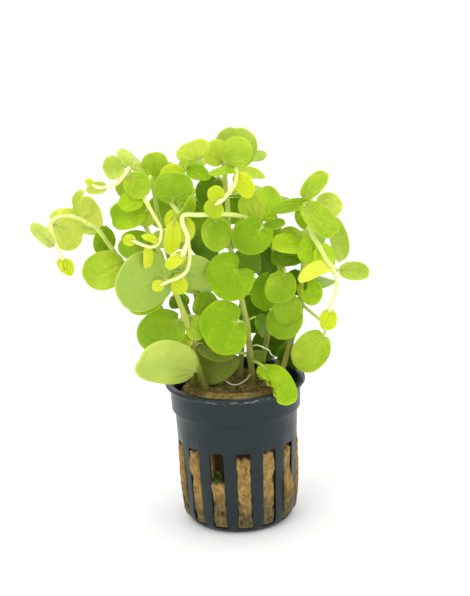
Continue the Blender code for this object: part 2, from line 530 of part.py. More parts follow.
def outline(leaf: Leaf, angle: float) -> Vector:
    """Point of the margin in the flat blade, at an angle from the midrib."""
    back = leaf.lobe * leaf.length
    radius = (leaf.length + back) / 2
    centre = (leaf.length - back) / 2
    reach = centre * math.cos(angle) + math.sqrt(max(
        radius ** 2 - (centre * math.sin(angle)) ** 2, 0.0))
    x = reach * math.sin(angle) * leaf.width / (2 * radius)
    y = reach * math.cos(angle)
    x *= 1 - leaf.sharp * max(0.0, y / leaf.length) ** 3
    return Vector((x, y))


def torn_side(leaf: Leaf, y: float) -> float:
    """Width that is left on the torn side, at a distance along the midrib."""
    away = (y / leaf.length - TEAR_MIDDLE) / TEAR_SPREAD
    return (leaf.torn * (1 - TEAR_DEPTH * math.exp(-away ** 2))
            + TEAR_NOTCH * math.sin(TEAR_RATE * y))


def bend(leaf: Leaf, x: float, y: float, lift: float) -> Vector:
    """Place of a flat blade point once the blade is cupped, curled and waved."""
    if leaf.torn:
        x = min(x, torn_side(leaf, y))
    cup = math.radians(leaf.cup) / (leaf.width / 2)
    curl = math.radians(leaf.curl) / leaf.length
    turn = math.atan2(x, y + MARGIN_START)
    wave = WAVE_HEIGHT * math.sin(WAVE_TURNS * turn + leaf.lean) * math.hypot(x, y) / leaf.length
    height = (1 - math.cos(cup * x)) / cup + (1 - math.cos(curl * y)) / curl
    return Vector((math.sin(cup * x) / cup, math.sin(curl * y) / curl, height + wave + lift))


def spoke_reach(leaf: Leaf, sessile: bool) -> float:
    """Degrees from the midrib to the last spoke, which stays clear of the leaf's foot."""
    if sessile:
        return SESSILE_REACH
    if leaf.lobe < WEDGE_LOBE:
        return WEDGE_REACH
    return ROUND_REACH if leaf.lobe < ROUND_LOBE else LOBED_REACH


def add_blade(builder, leaf: Leaf, place, spokes: int, reach: float, petiole: float) -> list:
    """Add both sides of a blade round one margin, and return the ring at its foot."""
    first, last = (builder.verts.new(place(side * petiole, MARGIN_START, 0)) for side in (-1, 1))
    margin = [first]
    for i in range(spokes):
        angle = math.radians(reach * (2 * i / (spokes - 1) - 1))
        point = outline(leaf, angle)
        margin.append(builder.verts.new(place(point.x, point.y, 0)))
    margin.append(last)
    ring = []
    for side in (1, -1):
        hub = builder.verts.new(place(0, 0, side * petiole))
        middle = builder.verts.new(place(0, leaf.length * BLADE_MIDDLE, side * BLADE_THICK / 2))
        loop = [hub] + margin + [hub]
        for start, end in zip(loop, loop[1:]):
            builder.faces.new((middle, start, end))
        ring.append(hub)
    return [ring[0], first, ring[1], last]


def add_petiole(builder, ring: list, foot: Vector, back: Vector, start: Vector, radius: float) -> None:
    """Close a blade's foot ring with a petiole that reaches back to the start."""
    reach = start - foot
    middle = (foot + start) / 2 + (back - reach.normalized()) * reach.length * PETIOLE_ARCH
    aim = foot
    for station in ([middle, start] if reach.length > SHORT_PETIOLE else [start]):
        ahead = (station - aim).normalized()
        flip = back.rotation_difference(ahead)
        back = ahead
        new_ring = []
        for vert in ring:
            offset = flip @ (vert.co - aim)
            offset -= ahead * offset.dot(ahead)
            new_ring.append(builder.verts.new(station + offset.normalized() * radius))
        for k in range(4):
            j = (k + 1) % 4
            builder.faces.new((ring[k], ring[j], new_ring[j], new_ring[k]))
        ring = new_ring
        aim = station
    builder.faces.new(ring)


def leaf_builder(leaf: Leaf, spokes: int, petiole: float, fused: bool):
    """The closed solid of a leaf: blade and petiole in one.

    A fused leaf starts inside its stem, sessile where it has no stalk. Another one
    starts just clear of its stem.
    """
    turn = leaf_frame(leaf)
    node, stem_way, stem_radius = stem_point(leaf.stem, leaf.at)
    sessile = fused and not leaf.stalk
    way = Vector(leaf.stalk).normalized() if leaf.stalk else direction(leaf.lean, leaf.toward)
    slope = abs(way.dot(stem_way))
    clear = (stem_radius + GAP + petiole * slope) / math.sqrt(1 - slope ** 2)
    own_reach = max(stem_radius + GAP + STALK_REACH, clear + SHORTEST_STALK)
    stalk = Vector(leaf.stalk) if leaf.stalk else way * (0.0 if sessile else own_reach)
    foot = node + stalk

    def place(x: float, y: float, lift: float) -> Vector:
        """A blade point in the plant's frame."""
        return foot + turn @ bend(leaf, x, y, lift)

    builder = bmesh.new()
    ring = add_blade(builder, leaf, place, spokes, spoke_reach(leaf, sessile), petiole)
    if sessile:
        builder.faces.new(ring)
        return builder
    start = node + way * (0.0 if fused else clear)
    add_petiole(builder, ring, foot, turn @ Vector((0, -1, 0)), start, petiole)
    return builder


def large_leaf(leaf: Leaf, parent) -> None:
    """Add a leaf that is a piece of its own."""
    builder = leaf_builder(leaf, LARGE_SPOKES, PETIOLE_RADIUS, fused=False)
    add_object(leaf.name, finish_mesh(leaf.name, builder), leaf.tone, LEAF_ROUGHNESS, parent)


def heading_leaf(name: str, stem: str, at: float, heading: float, length: float, width: float):
    """A leaf that points away from its stem at a heading and rises a little."""
    turn, rise = math.radians(heading), math.radians(PAIR_RISE)
    way = Vector((math.cos(turn) * math.cos(rise), math.sin(turn) * math.cos(rise), math.sin(rise)))
    lean = math.degrees(math.atan2(way.x, way.z))
    toward = math.degrees(math.asin(-way.y))
    return Leaf(name, stem, at, lean, toward, length, width, PAIR_LOOK, "mid")


def paired_leaves() -> list:
    """The leaves of every opposite pair."""
    leaves = []
    for i, (stem, at, heading, length, width) in enumerate(LEAF_PAIRS):
        leaves.append(heading_leaf(f"pair_{i}_a", stem, at, heading, length, width))
        leaves.append(heading_leaf(f"pair_{i}_b", stem, at, heading + 180, length, width))
    return leaves


def grown_stem(stem: Stem, parent) -> None:
    """Add a stem in one piece with its small leaves and its roots."""
    obj = add_object(stem.name, stem_mesh(stem), stem.tone, STEM_ROUGHNESS, parent)
    greenery = material(stem.name + "_leaves", "mid", LEAF_ROUGHNESS)
    growth = bpy.data.collections.new(stem.name + "_growth")
    bpy.context.scene.collection.children.link(growth)
    builders = {leaf.name: leaf_builder(leaf, SMALL_SPOKES, SMALL_PETIOLE_RADIUS, fused=True)
                for leaf in (*SMALL_LEAVES, *paired_leaves()) if leaf.stem == stem.name}
    if stem.name == ROOTED_STEM:
        for i, route in enumerate(ROOTS):
            builder = bmesh.new()
            points = smooth_route(route, ROOT_STEP)
            tube(builder, points, [ROOT_RADIUS] * len(points), ROOT_SIDES)
            builders[f"root_{i}"] = builder
    for name, builder in builders.items():
        form = bpy.data.objects.new(name, finish_mesh(name, builder))
        form.data.materials.append(greenery)
        growth.objects.link(form)
        form.hide_render = True
        form.display_type = "WIRE"
    boolean(obj, growth, "UNION")


# Pot and plug

def corner_arc(top: Vector, foot: Vector, steps: int) -> list:
    """Quarter ellipse from the wall down to the foot, in radius and height."""
    return [Vector((foot.x + (top.x - foot.x) * math.cos(a), top.y - (top.y - foot.y) * math.sin(a)))
            for a in (math.pi / 2 * i / steps for i in range(1, steps))]


def pot_profile() -> list:
    """Radius and height round the pot's section, from the axis outside and back inside."""
    outer_top = Vector((BODY_FOOT_RADIUS, CORNER_TOP))
    outer_foot = Vector((FOOT_RADIUS, 0))
    inner_top = Vector((BODY_FOOT_RADIUS - WALL, CORNER_TOP))
    inner_foot = Vector((FOOT_RADIUS - WALL, FLOOR_THICK))
    outside = [outer_foot] + corner_arc(outer_top, outer_foot, CORNER_STEPS)[::-1] + [outer_top]
    inside = [inner_top] + corner_arc(inner_top, inner_foot, CORNER_STEPS) + [inner_foot]
    lip_low = POT_HEIGHT - LIP_THICK
    rim = [
        Vector((BODY_TOP_RADIUS, COLLAR_FOOT)),
        Vector((COLLAR_RADIUS, COLLAR_FOOT)),
        Vector((COLLAR_RADIUS + COLLAR_FLARE, lip_low)),
        Vector((LIP_RADIUS, lip_low)),
        Vector((LIP_RADIUS, POT_HEIGHT)),
        Vector((COLLAR_RADIUS - WALL + COLLAR_FLARE, POT_HEIGHT)),
        Vector((COLLAR_RADIUS - WALL, COLLAR_FOOT + WALL)),
        Vector((BODY_TOP_RADIUS - WALL, COLLAR_FOOT)),
    ]
    return outside + rim + inside


def turned(builder, profile: list, sides: int) -> None:
    """Add the closed solid of a profile turned about Z, with flat discs at its ends."""
    rings = []
    angles = [slot_angle(0) + math.tau * k / sides for k in range(sides)]
    for point in profile:
        rings.append([builder.verts.new(radial(angle, point.x, 0, point.y)) for angle in angles])
    for low, high in zip(rings, rings[1:]):
        for k in range(sides):
            j = (k + 1) % sides
            builder.faces.new((low[k], low[j], high[j], high[k]))
    builder.faces.new(rings[0])
    builder.faces.new(reversed(rings[-1]))


def cutter(name: str, builder):
    """Link a mesh as a hidden cutter."""
    obj = bpy.data.objects.new(name, finish_mesh(name, builder))
    bpy.context.scene.collection.objects.link(obj)
    obj.hide_render = True
    obj.display_type = "WIRE"
    return obj


def boolean(obj, operand, operation: str) -> None:
    """Add a Boolean modifier with an object or a collection."""
    modifier = obj.modifiers.new(operation.title(), "BOOLEAN")
    modifier.operation = operation
    modifier.solver = "EXACT"
    modifier.material_mode = "TRANSFER"
    if isinstance(operand, bpy.types.Collection):
        modifier.operand_type = "COLLECTION"
        modifier.collection = operand
    else:
        modifier.object = operand


def slot_angle(index: int) -> float:
    """Angle of a slot's middle from the front, toward the right."""
    return math.radians(FIRST_SLOT + SLOT_PITCH * index)


def radial(angle: float, radius: float, sideways: float, height: float) -> Vector:
    """A point out from the axis at an angle from the front."""
    out = Vector((math.sin(angle), -math.cos(angle), 0))
    across = Vector((math.cos(angle), math.sin(angle), 0))
    return out * radius + across * sideways + Vector((0, 0, height))


def prism(builder, angle: float, section: list, width: float) -> None:
    """Add a solid of constant width with a section in radius and height."""
    sides = [[builder.verts.new(radial(angle, r, sign * width / 2, z)) for r, z in section]
             for sign in (-1, 1)]
    builder.faces.new(sides[0])
    builder.faces.new(reversed(sides[1]))
    for k in range(len(section)):
        j = (k + 1) % len(section)
        builder.faces.new((sides[0][k], sides[1][k], sides[1][j], sides[0][j]))


def net_pot(parent):
    """The pot: a turned wall with a collar, a lip, a rounded foot and slots."""
    builder = bmesh.new()
    turned(builder, pot_profile(), POT_SIDES)
    pot = add_object("net_pot", finish_mesh("net_pot", builder), "plastic", PLASTIC_ROUGHNESS, parent)
    slots = bmesh.new()
    inside, outside = FOOT_RADIUS - 2 * WALL, LIP_RADIUS + CUTTER_SPARE
    for index in range(SLOT_COUNT):
        section = [(inside, SLOT_LOW), (outside, SLOT_LOW), (outside, SLOT_HIGH), (inside, SLOT_HIGH)]
        prism(slots, slot_angle(index), section, SLOT_WIDTH)
    boolean(pot, cutter("slot_cutter", slots), "DIFFERENCE")


def wall_radius(height: float) -> float:
    """The pot's outer radius at a height between its foot and the collar."""
    if height < CORNER_TOP:
        drop = (CORNER_TOP - height) / CORNER_TOP
        return FOOT_RADIUS + (BODY_FOOT_RADIUS - FOOT_RADIUS) * math.sqrt(1 - drop ** 2)
    share = (height - CORNER_TOP) / (COLLAR_FOOT - CORNER_TOP)
    return BODY_FOOT_RADIUS + (BODY_TOP_RADIUS - BODY_FOOT_RADIUS) * share


def plug_core():
    """The turned body of the plug with a lumpy top."""
    clear = WALL + PLUG_SLACK
    profile = [
        Vector((FOOT_RADIUS - clear - CORNER_SLACK, PLUG_LOW)),
        Vector((BODY_FOOT_RADIUS - clear - CORNER_SLACK / 2, CORNER_TOP)),
        Vector((BODY_TOP_RADIUS - clear, COLLAR_FOOT)),
        Vector((PLUG_TOP_RADIUS, PLUG_HIGH - PLUG_SHOULDER)),
        Vector((PLUG_TOP_RADIUS - PLUG_SHOULDER, PLUG_HIGH)),
    ]
    profile += [Vector((radius, PLUG_HIGH)) for radius in PLUG_RINGS]
    builder = bmesh.new()
    turned(builder, profile, PLUG_SIDES)
    for vert in builder.verts:
        if vert.co.z > PLUG_HIGH - PLUG_SHOULDER / 2:
            vert.co.z += PLUG_LUMP * noise.noise(vert.co * LUMP_PITCH)
    return builder


def wool_plug(parent):
    """The plug with its tongues in the slots and a socket for each stem."""
    core = finish_mesh("wool_plug", plug_core())
    plug = add_object("wool_plug", core, "wool", WOOL_ROUGHNESS, parent)
    tongues = bmesh.new()
    inside = FOOT_RADIUS - TONGUE_ROOT
    for index, (top, stand) in enumerate(SLOT_WOOL):
        low = SLOT_LOW + GAP
        section = [
            (inside, low),
            (wall_radius(low) - TONGUE_SLACK, low),
            (wall_radius(CORNER_TOP) + stand, CORNER_TOP),
            (wall_radius(top) + stand, top),
            (inside, top),
        ]
        prism(tongues, slot_angle(index), section, SLOT_WIDTH - 2 * GAP)
    boolean(plug, cutter("tongue_form", tongues), "UNION")
    sockets = bmesh.new()
    for stem in STEMS:
        x, y = stem.route[0][:2]
        depth = POT_HEIGHT - STEM_SOCKET
        shift = Matrix.Translation((x, y, STEM_SOCKET + depth / 2))
        radius = (stem.foot_radius + GAP) / math.cos(math.pi / SOCKET_SIDES) + SOCKET_SLACK
        bmesh.ops.create_cone(sockets, cap_ends=True, segments=SOCKET_SIDES, radius1=radius, radius2=radius,
                              depth=depth, matrix=shift)
    boolean(plug, cutter("socket_cutter", sockets), "DIFFERENCE")


def main() -> None:
    """Clear the scene and build every piece."""
    for obj in list(bpy.data.objects):
        bpy.data.objects.remove(obj)
    plant = bpy.data.objects.new("potted_lindernia", None)
    bpy.context.scene.collection.objects.link(plant)
    net_pot(plant)
    wool_plug(plant)
    for stem in STEMS:
        grown_stem(stem, plant)
    for leaf in LARGE_LEAVES:
        large_leaf(leaf, plant)


main()
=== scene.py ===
"""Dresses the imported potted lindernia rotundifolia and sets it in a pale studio.

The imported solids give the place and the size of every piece. Each of them is replaced
here by a piece of the same form in full detail: the moulded net pot, the plug of
mineral wool with its loose fibres, the smooth stems with their small leaves and
roots, and the large veined leaves. Lengths are in mm unless a name says otherwise.
"""
import logging
import math
from dataclasses import dataclass, replace
from enum import Enum
from typing import Optional, Sequence, Union

import bmesh
import bpy
import numpy as np
from mathutils import Matrix, Vector, noise


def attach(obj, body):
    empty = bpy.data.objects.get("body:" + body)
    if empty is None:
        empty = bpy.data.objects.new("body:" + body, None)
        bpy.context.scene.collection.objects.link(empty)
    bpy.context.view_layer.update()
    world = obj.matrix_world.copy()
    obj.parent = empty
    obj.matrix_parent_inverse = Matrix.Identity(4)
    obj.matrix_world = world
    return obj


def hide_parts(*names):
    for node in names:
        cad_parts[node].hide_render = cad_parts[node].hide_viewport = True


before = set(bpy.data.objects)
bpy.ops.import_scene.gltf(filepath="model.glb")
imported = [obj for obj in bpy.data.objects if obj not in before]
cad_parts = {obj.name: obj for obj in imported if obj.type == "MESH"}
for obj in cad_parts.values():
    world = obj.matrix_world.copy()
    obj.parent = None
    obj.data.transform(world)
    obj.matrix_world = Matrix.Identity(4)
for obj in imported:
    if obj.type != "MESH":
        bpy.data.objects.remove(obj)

LOG = logging.getLogger("lindernia")
MM = 0.001
BODY = "root"


class Tone(Enum):
    """The greens that a leaf can have, from full light to old and shaded."""

    BRIGHT = "bright"
    MID = "mid"
    DEEP = "deep"
    PALE = "pale"
    YOUNG = "young"
    OLIVE = "olive"


BRIGHT, MID, DEEP, PALE, YOUNG, OLIVE = Tone


@dataclass(frozen=True)
class Stem:
    """A stem: its radius at both ends, and its route from foot to tip."""

    name: str
    foot_radius: float
    tip_radius: float
    route: tuple

    def radius(self, share: Union[float, np.ndarray]) -> Union[float, np.ndarray]:
        """Its radius at a share of its length."""
        return self.foot_radius + (self.tip_radius - self.foot_radius) * share


@dataclass(frozen=True)
class Leaf:
    """A leaf where it grows on a stem.

    at: share of the stem's length from its foot to the leaf's node.
    lean: direction of the midrib seen from the front, clockwise from straight up.
    toward: how far the tip comes toward the front.
    look: where the upper side looks, as degrees to the right and degrees upward.
    stalk: reach from the stem's axis to the blade; by default the leaf's own way.
    shade: from -1, darker than its tone, to 1, lighter; painted light and shade where the leaf stands,
    together with its own tone.
    lobe: how far the round base reaches behind the petiole, as a share of the length.
    cup and curl: slope reached at the sides and at the tip, in degrees.
    sharp: how far the tip narrows, from 0, round, to 1.
    torn: width of what is left on the torn side.
    """

    name: str
    at: float
    lean: float
    toward: float
    length: float
    width: float
    tone: Tone = MID
    look: tuple = (0, 20)
    stalk: Optional[tuple] = None
    shade: float = 0.0
    lobe: float = 0.12
    cup: float = 18
    curl: float = -18
    sharp: float = 0.0
    torn: float = 0.0
    stem: str = ""


def on_stems(*groups: tuple) -> tuple:
    """Leaves from groups of a stem's name and the leaves that grow on it."""
    return tuple(replace(leaf, stem=stem) for stem, *leaves in groups for leaf in leaves)


STEMS = (
    Stem("stem_far_left", 1.1, 0.75, (
        (-15, 3, 45.3), (-15, 3, 50), (-19.5, 0, 66.5), (-25, -2, 79.5), (-31.5, -4, 89.5), (-37.5, -6, 98),
        (-44, -9, 109.5), (-47, -10, 112), (-50.5, -11, 114.5), (-54, -12, 115.5), (-57, -14, 115.5),
        (-59, -16, 114), (-58.5, -18, 111), (-57.5, -19, 107.5), (-56, -20, 104.5), (-55, -20, 101.5))),
    Stem("stem_front_left", 1.4, 0.65, (
        (-10.5, -4, 45.3), (-10.5, -4, 49.5), (-12.5, -7, 57.5), (-14, -9, 66.5), (-15.5, -11, 75.5),
        (-18, -13, 85), (-20.5, -14, 93), (-23.5, -14, 102), (-26.5, -11.5, 107.5), (-29.5, -6.5, 113),
        (-31.5, -3.5, 119.5), (-32.5, -4, 126), (-32.5, -8, 130), (-33, -12, 129.5), (-36, -15, 126.5),
        (-39, -16, 125.5), (-42, -17, 125.5), (-44.5, -18, 127))),
    Stem("stem_left_mid", 1.2, 0.6, (
        (-7.5, 4, 45.3), (-7.5, 4, 50), (-12, 3, 63.5), (-17, 2, 81), (-21.5, 1, 97.5), (-24, 0, 112),
        (-25, -2, 121), (-25.5, -6, 126.5), (-26.5, -10, 124), (-28, -13, 121.5), (-26.5, -15, 119),
        (-24.5, -17, 115.5), (-22.5, -18, 111.5), (-22.5, -19, 108.5), (-24, -20, 106), (-26.5, -20, 105.5),
        (-29.5, -21, 107), (-32.5, -21, 108.5))),
    Stem("stem_mid_hidden", 1.2, 0.65, (
        (-3, 0, 45.3), (-3, 0, 50), (-7.5, 1, 64), (-11, 0.5, 81), (-15, 0, 99.5), (-16.5, -1, 112.5),
        (-15.5, -2, 121), (-14.5, -4, 124.5), (-16.5, -7.5, 123), (-19, -10, 119), (-17.5, -12, 116.5),
        (-16, -13, 114), (-14.5, -13.5, 109.5), (-13.5, -14, 103.5), (-13.5, -15, 99.5), (-14.5, -16, 96),
        (-17, -17, 94), (-20.5, -18.8, 93.2), (-23.5, -20.3, 92.3))),
    Stem("stem_front", 1.3, 0.8, (
        (6, 0, 45.3), (6, 0, 50), (6, -1, 54.5), (5.5, -3, 64), (5, -5, 72.5), (3.5, -7, 82.5), (2, -8, 93),
        (0.5, -8, 100.5), (0, -6, 106.5), (0, -2, 115), (-0.5, 0, 124), (0.5, -2, 129.5), (3, -5, 129.5),
        (3.5, -9, 127.5), (3, -12, 124.5), (1, -14.5, 121.9), (-1.4, -17, 120), (-4, -18.5, 118.4))),
    Stem("stem_arch", 1.2, 0.85, (
        (9.5, 8, 45.3), (9.5, 8, 50), (11.5, 8, 61), (14, 7, 71.5), (16.5, 5, 80.5), (17.5, 2, 90),
        (15, 0, 99.5), (12, -3, 106), (8, -7, 109.5), (4, -10, 112.5), (-0.5, -13, 114), (-5, -15, 114.5),
        (-10, -17, 115), (-14.5, -19, 115.5), (-15, -21, 113), (-13.5, -21.5, 108.5), (-14.5, -22, 105),
        (-16, -22.5, 101.5))),
    Stem("stem_right_long", 1.2, 0.85, (
        (16, 1, 45.3), (16, 1, 50), (20, 2, 62.5), (23.5, 1, 72.5), (24.5, 0, 82), (25.5, -1, 93.5),
        (26.5, -2, 101.5), (27.5, -5, 106.5), (28.5, -8, 104), (30.5, -10.5, 101), (32.5, -12, 97),
        (35, -13, 93), (36, -14, 89), (35, -14.5, 84.5), (33.5, -15, 81), (33, -15, 78.5))),
    Stem("stem_right_top", 1.2, 0.9, (
        (14, 9, 45.3), (14, 9, 50), (19, 11, 60), (23.5, 11, 73), (26.5, 8, 88.5), (27.5, 6, 101.5),
        (27, 2, 110), (27.5, -1, 115), (29.5, -4, 115), (30.5, -7, 112.5), (30.5, -9, 110))),
    Stem("stem_back_left", 1.2, 0.8, (
        (-7, 10, 45.3), (-7, 10, 50), (-11, 15, 66.5), (-14, 19, 85), (-16, 20, 104.5), (-16, 18, 117.5),
        (-15, 12, 127))),
    Stem("stem_back_mid", 1.2, 0.8, (
        (2, 12, 45.3), (2, 12, 50), (4, 18, 68.5), (5, 24, 90.5), (5, 24, 109), (4.5, 20, 120.5),
        (6, 15, 129))),
    Stem("stem_back_right", 1.2, 0.8, (
        (9, 13.5, 45.3), (9, 13.5, 50), (15, 20, 64), (19, 26, 82.5), (19, 27, 98), (15, 24, 110))),
)

# Leaves that are pieces of their own.
LARGE_LEAVES = on_stems(
    ("stem_far_left",
     Leaf("leaf_left_outer", 0.55, -107, 20, 15, 13.8, MID, (-10, 20), (0.9, -3, 0.4), 0.55, lobe=0.06),
     Leaf("leaf_left_folded", 0.6, 0, 5, 10.6, 9.6, MID, (40, 10), (-3.3, 3.2, -1.5), cup=8, curl=8,
          sharp=0.6),
     Leaf("leaf_far_left_back", 0.68, 72, -40, 11, 14.2, PALE, (20, 20), (-7.6, 6.9, 2.3), 0.7, lobe=0.2),
     Leaf("leaf_far_left_upright", 0.77, 14, -5, 8.2, 8.4, MID, (-60, 15), shade=0.7, lobe=0.04, cup=40),
     Leaf("leaf_far_left_broad", 0.87, 118, -15, 11.6, 14.5, PALE, (0, 25), (0.8, 5, -1.2), 0.8, lobe=0.3),
     Leaf("leaf_far_left_under", 0.91, -32, 10, 10.9, 5.6, PALE, (10, 150), (-0.4, -1.2, -3), 0.4,
          lobe=0.07)),
    ("stem_front_left",
     Leaf("leaf_low_left_underside", 0.12, -63, 25, 24, 18.5, PALE, (0, 170), (-1.5, -1.8, -0.2), 0.2,
          lobe=0.04, cup=10, curl=-6, sharp=-0.2),
     Leaf("leaf_low_left", 0.3, -127, 0, 17.6, 16.6, MID, (-5, 30), (-3, 2.2, -1.2)),
     Leaf("leaf_left_large", 0.46, -89, 20, 18.6, 21.5, PALE, (0, 176), (-0.2, -2.2, -1.8), -0.95,
          cup=12, curl=-8),
     Leaf("leaf_left_behind", 0.52, -69, -12, 13.4, 11.3, MID, (0, 25), (-2.2, 2.4, 0.4)),
     Leaf("leaf_left_below", 0.41, -118, 0, 16, 13, MID, (0, 20), (-3.6, 0.9, 0.8), lobe=0.04),
     Leaf("leaf_left_inner", 0.46, 108, -22, 15, 14, PALE, (0, 168), (2, 2.5, 0), -0.6),
     Leaf("leaf_front_arched", 0.31, 58, -25, 10.6, 10.8, MID, (10, 20), (4.5, 3.5, -0.5), curl=-38),
     Leaf("leaf_front_low_grey", 0.21, 108, -5, 13, 11, OLIVE, (0, 30), (3, 0.5, 0)),
     Leaf("leaf_top_left_up", 0.82, 28, -60, 9.5, 12.5, PALE, (53, 38), shade=0.3, cup=-20, curl=-30),
     Leaf("leaf_top_left_side", 0.84, -108, 15, 6.8, 8.8, PALE, (-10, 30), (-2, -0.8, 1.5), 0.4, lobe=0.07),
     Leaf("leaf_top_left_right", 0.87, 141, 20, 8.4, 9.4, MID, (0, 30), shade=0.3)),
    ("stem_left_mid",
     Leaf("leaf_top_upright", 0.65, -10, -15, 10.9, 9.4, MID, (10, 15), (1.7, 4.2, 0.7), 0.5, cup=30,
          curl=16, sharp=-0.4),
     Leaf("leaf_bright_left", 0.8, -101, -5, 14, 10.2, BRIGHT, (0, 15), (-1.3, 2.4, -2.6), 0.35,
          lobe=0.05, cup=26, curl=-26),
     Leaf("leaf_folded_hanging", 0.79, 176, 0, 8.2, 9, MID, (-25, 20), (-1.7, 3.6, -1.2), 0.5, cup=40)),
    ("stem_mid_hidden",
     Leaf("leaf_round_left", 0.715, 9, 0, 9.8, 14, MID, (0, 20), (1.1, -3.4, 1.2), -0.25, lobe=0.25,
          cup=24, curl=26),
     Leaf("leaf_top_fan", 0.64, -20, -10, 7.4, 12, MID, (0, -25), (5.2, 0.8, 6.6), 0.85, lobe=0.07,
          cup=10, curl=22, sharp=-0.2),
     Leaf("leaf_young_hanging", 0.76, -169, 10, 11.5, 6.2, YOUNG, (10, 20), (-1.4, -2.6, -2.2), 0.2,
          lobe=0.04, cup=34),
     Leaf("leaf_young_round", 0.78, 180, -5, 9, 7.2, YOUNG, (10, 20), (0.8, 2, 0.1), lobe=0.07)),
    ("stem_front",
     Leaf("leaf_front_bright", 0.246, -104, 22, 13.2, 19.5, BRIGHT, (5, 15), (-3.9, -5.5, 3.1), -0.2,
          lobe=0.3),
     Leaf("leaf_front_kidney", 0.442, -131, 8, 11.6, 17, BRIGHT, (0, 20), (0.3, -2.6, 0.2), -0.4, lobe=0.45),
     Leaf("leaf_low_olive", 0.147, -116, -15, 19.5, 16, OLIVE, (0, 10), (-6.3, -1, 0.3)),
     Leaf("leaf_torn", 0.123, 122, 56, 18.6, 11.2, BRIGHT, (20, 40), (4.7, -8.5, -0.4), cup=14, curl=-27,
          torn=4.8),
     Leaf("leaf_centre_left", 0.609, -177, 25, 11.2, 10.3, MID, (0, 20), (-4.1, -3.8, -0.2), -0.1),
     Leaf("leaf_centre_dark", 0.55, -160, -15, 13, 12, DEEP, (-10, 30), (-6.4, 2.6, 0.8)),
     Leaf("leaf_upper_dark", 0.717, -164, -5, 11.5, 12.5, DEEP, (-10, 25), (-3, 4, 0)),
     Leaf("leaf_top_middle", 0.752, -25, -5, 8.4, 9.6, MID, (-10, 20), shade=0.6),
     Leaf("leaf_top_back", 0.806, 0, -15, 13.8, 14.8, PALE, (0, 20), (1.7, 5, -1.3), -0.5),
     Leaf("leaf_top_front", 0.825, 32, 0, 9.5, 10.7, MID, (0, 10), (-1.6, -2, 1.2), 0.1)),
    ("stem_arch",
     Leaf("leaf_centre_round", 0.59, -128, 8, 10.2, 13, BRIGHT, (0, 5), (-0.2, -7, 0.2), -0.65, lobe=0.45),
     Leaf("leaf_pair_left", 0.585, -22, -10, 10.1, 8.8, MID, (-15, 15), shade=0.3),
     Leaf("leaf_pair_right", 0.57, 27, -30, 12.8, 10, BRIGHT, (15, 20), (-0.1, 3, 3.5), 0.35, cup=24),
     Leaf("leaf_right_round", 0.41, -164, 10, 11, 11, MID, (0, 15), (1, -8.5, 0.6), -0.3),
     Leaf("leaf_right_behind", 0.39, -160, 0, 13.5, 10, BRIGHT, (-10, 20), (-3.8, -1, 0))),
    ("stem_right_long",
     Leaf("leaf_right_upper", 0.59, -83, -22, 9.8, 8.8, MID, (0, 25), shade=0.4, cup=26),
     Leaf("leaf_right_bright", 0.57, -75, 20, 11.7, 8.1, BRIGHT, (0, 45), (-1.2, -3.1, 0.8), 0.7, lobe=0.07),
     Leaf("leaf_right_big", 0.33, -141, 7, 13.9, 12.6, MID, (0, 20), (-1.9, -2.4, 1.6), lobe=0.07),
     Leaf("leaf_right_low_round", 0.36, -137, 10, 14.5, 13.2, MID, (5, 20), (7.1, -1.5, -13), 0.35),
     Leaf("leaf_right_tip_side", 0.84, 95, 5, 10.7, 7.1, PALE, (0, 30), lobe=0.04)),
    ("stem_right_top",
     Leaf("leaf_right_crown", 0.88, 44, -10, 12.2, 6.8, MID, (0, 20), (-1.9, -1.6, 1.3), 0.55, lobe=0.04,
          cup=26, curl=12),
     Leaf("leaf_right_arm", 0.84, -97, 15, 13.2, 5.2, MID, (0, 20), (-0.4, -3.8, 2), 0.3, lobe=0.07,
          cup=38, sharp=0.4),
     Leaf("leaf_right_front", 0.93, 135, 5, 14.6, 9.4, MID, (5, 15), (-3.6, -6.3, 0.6), 0.5, cup=30)),
)

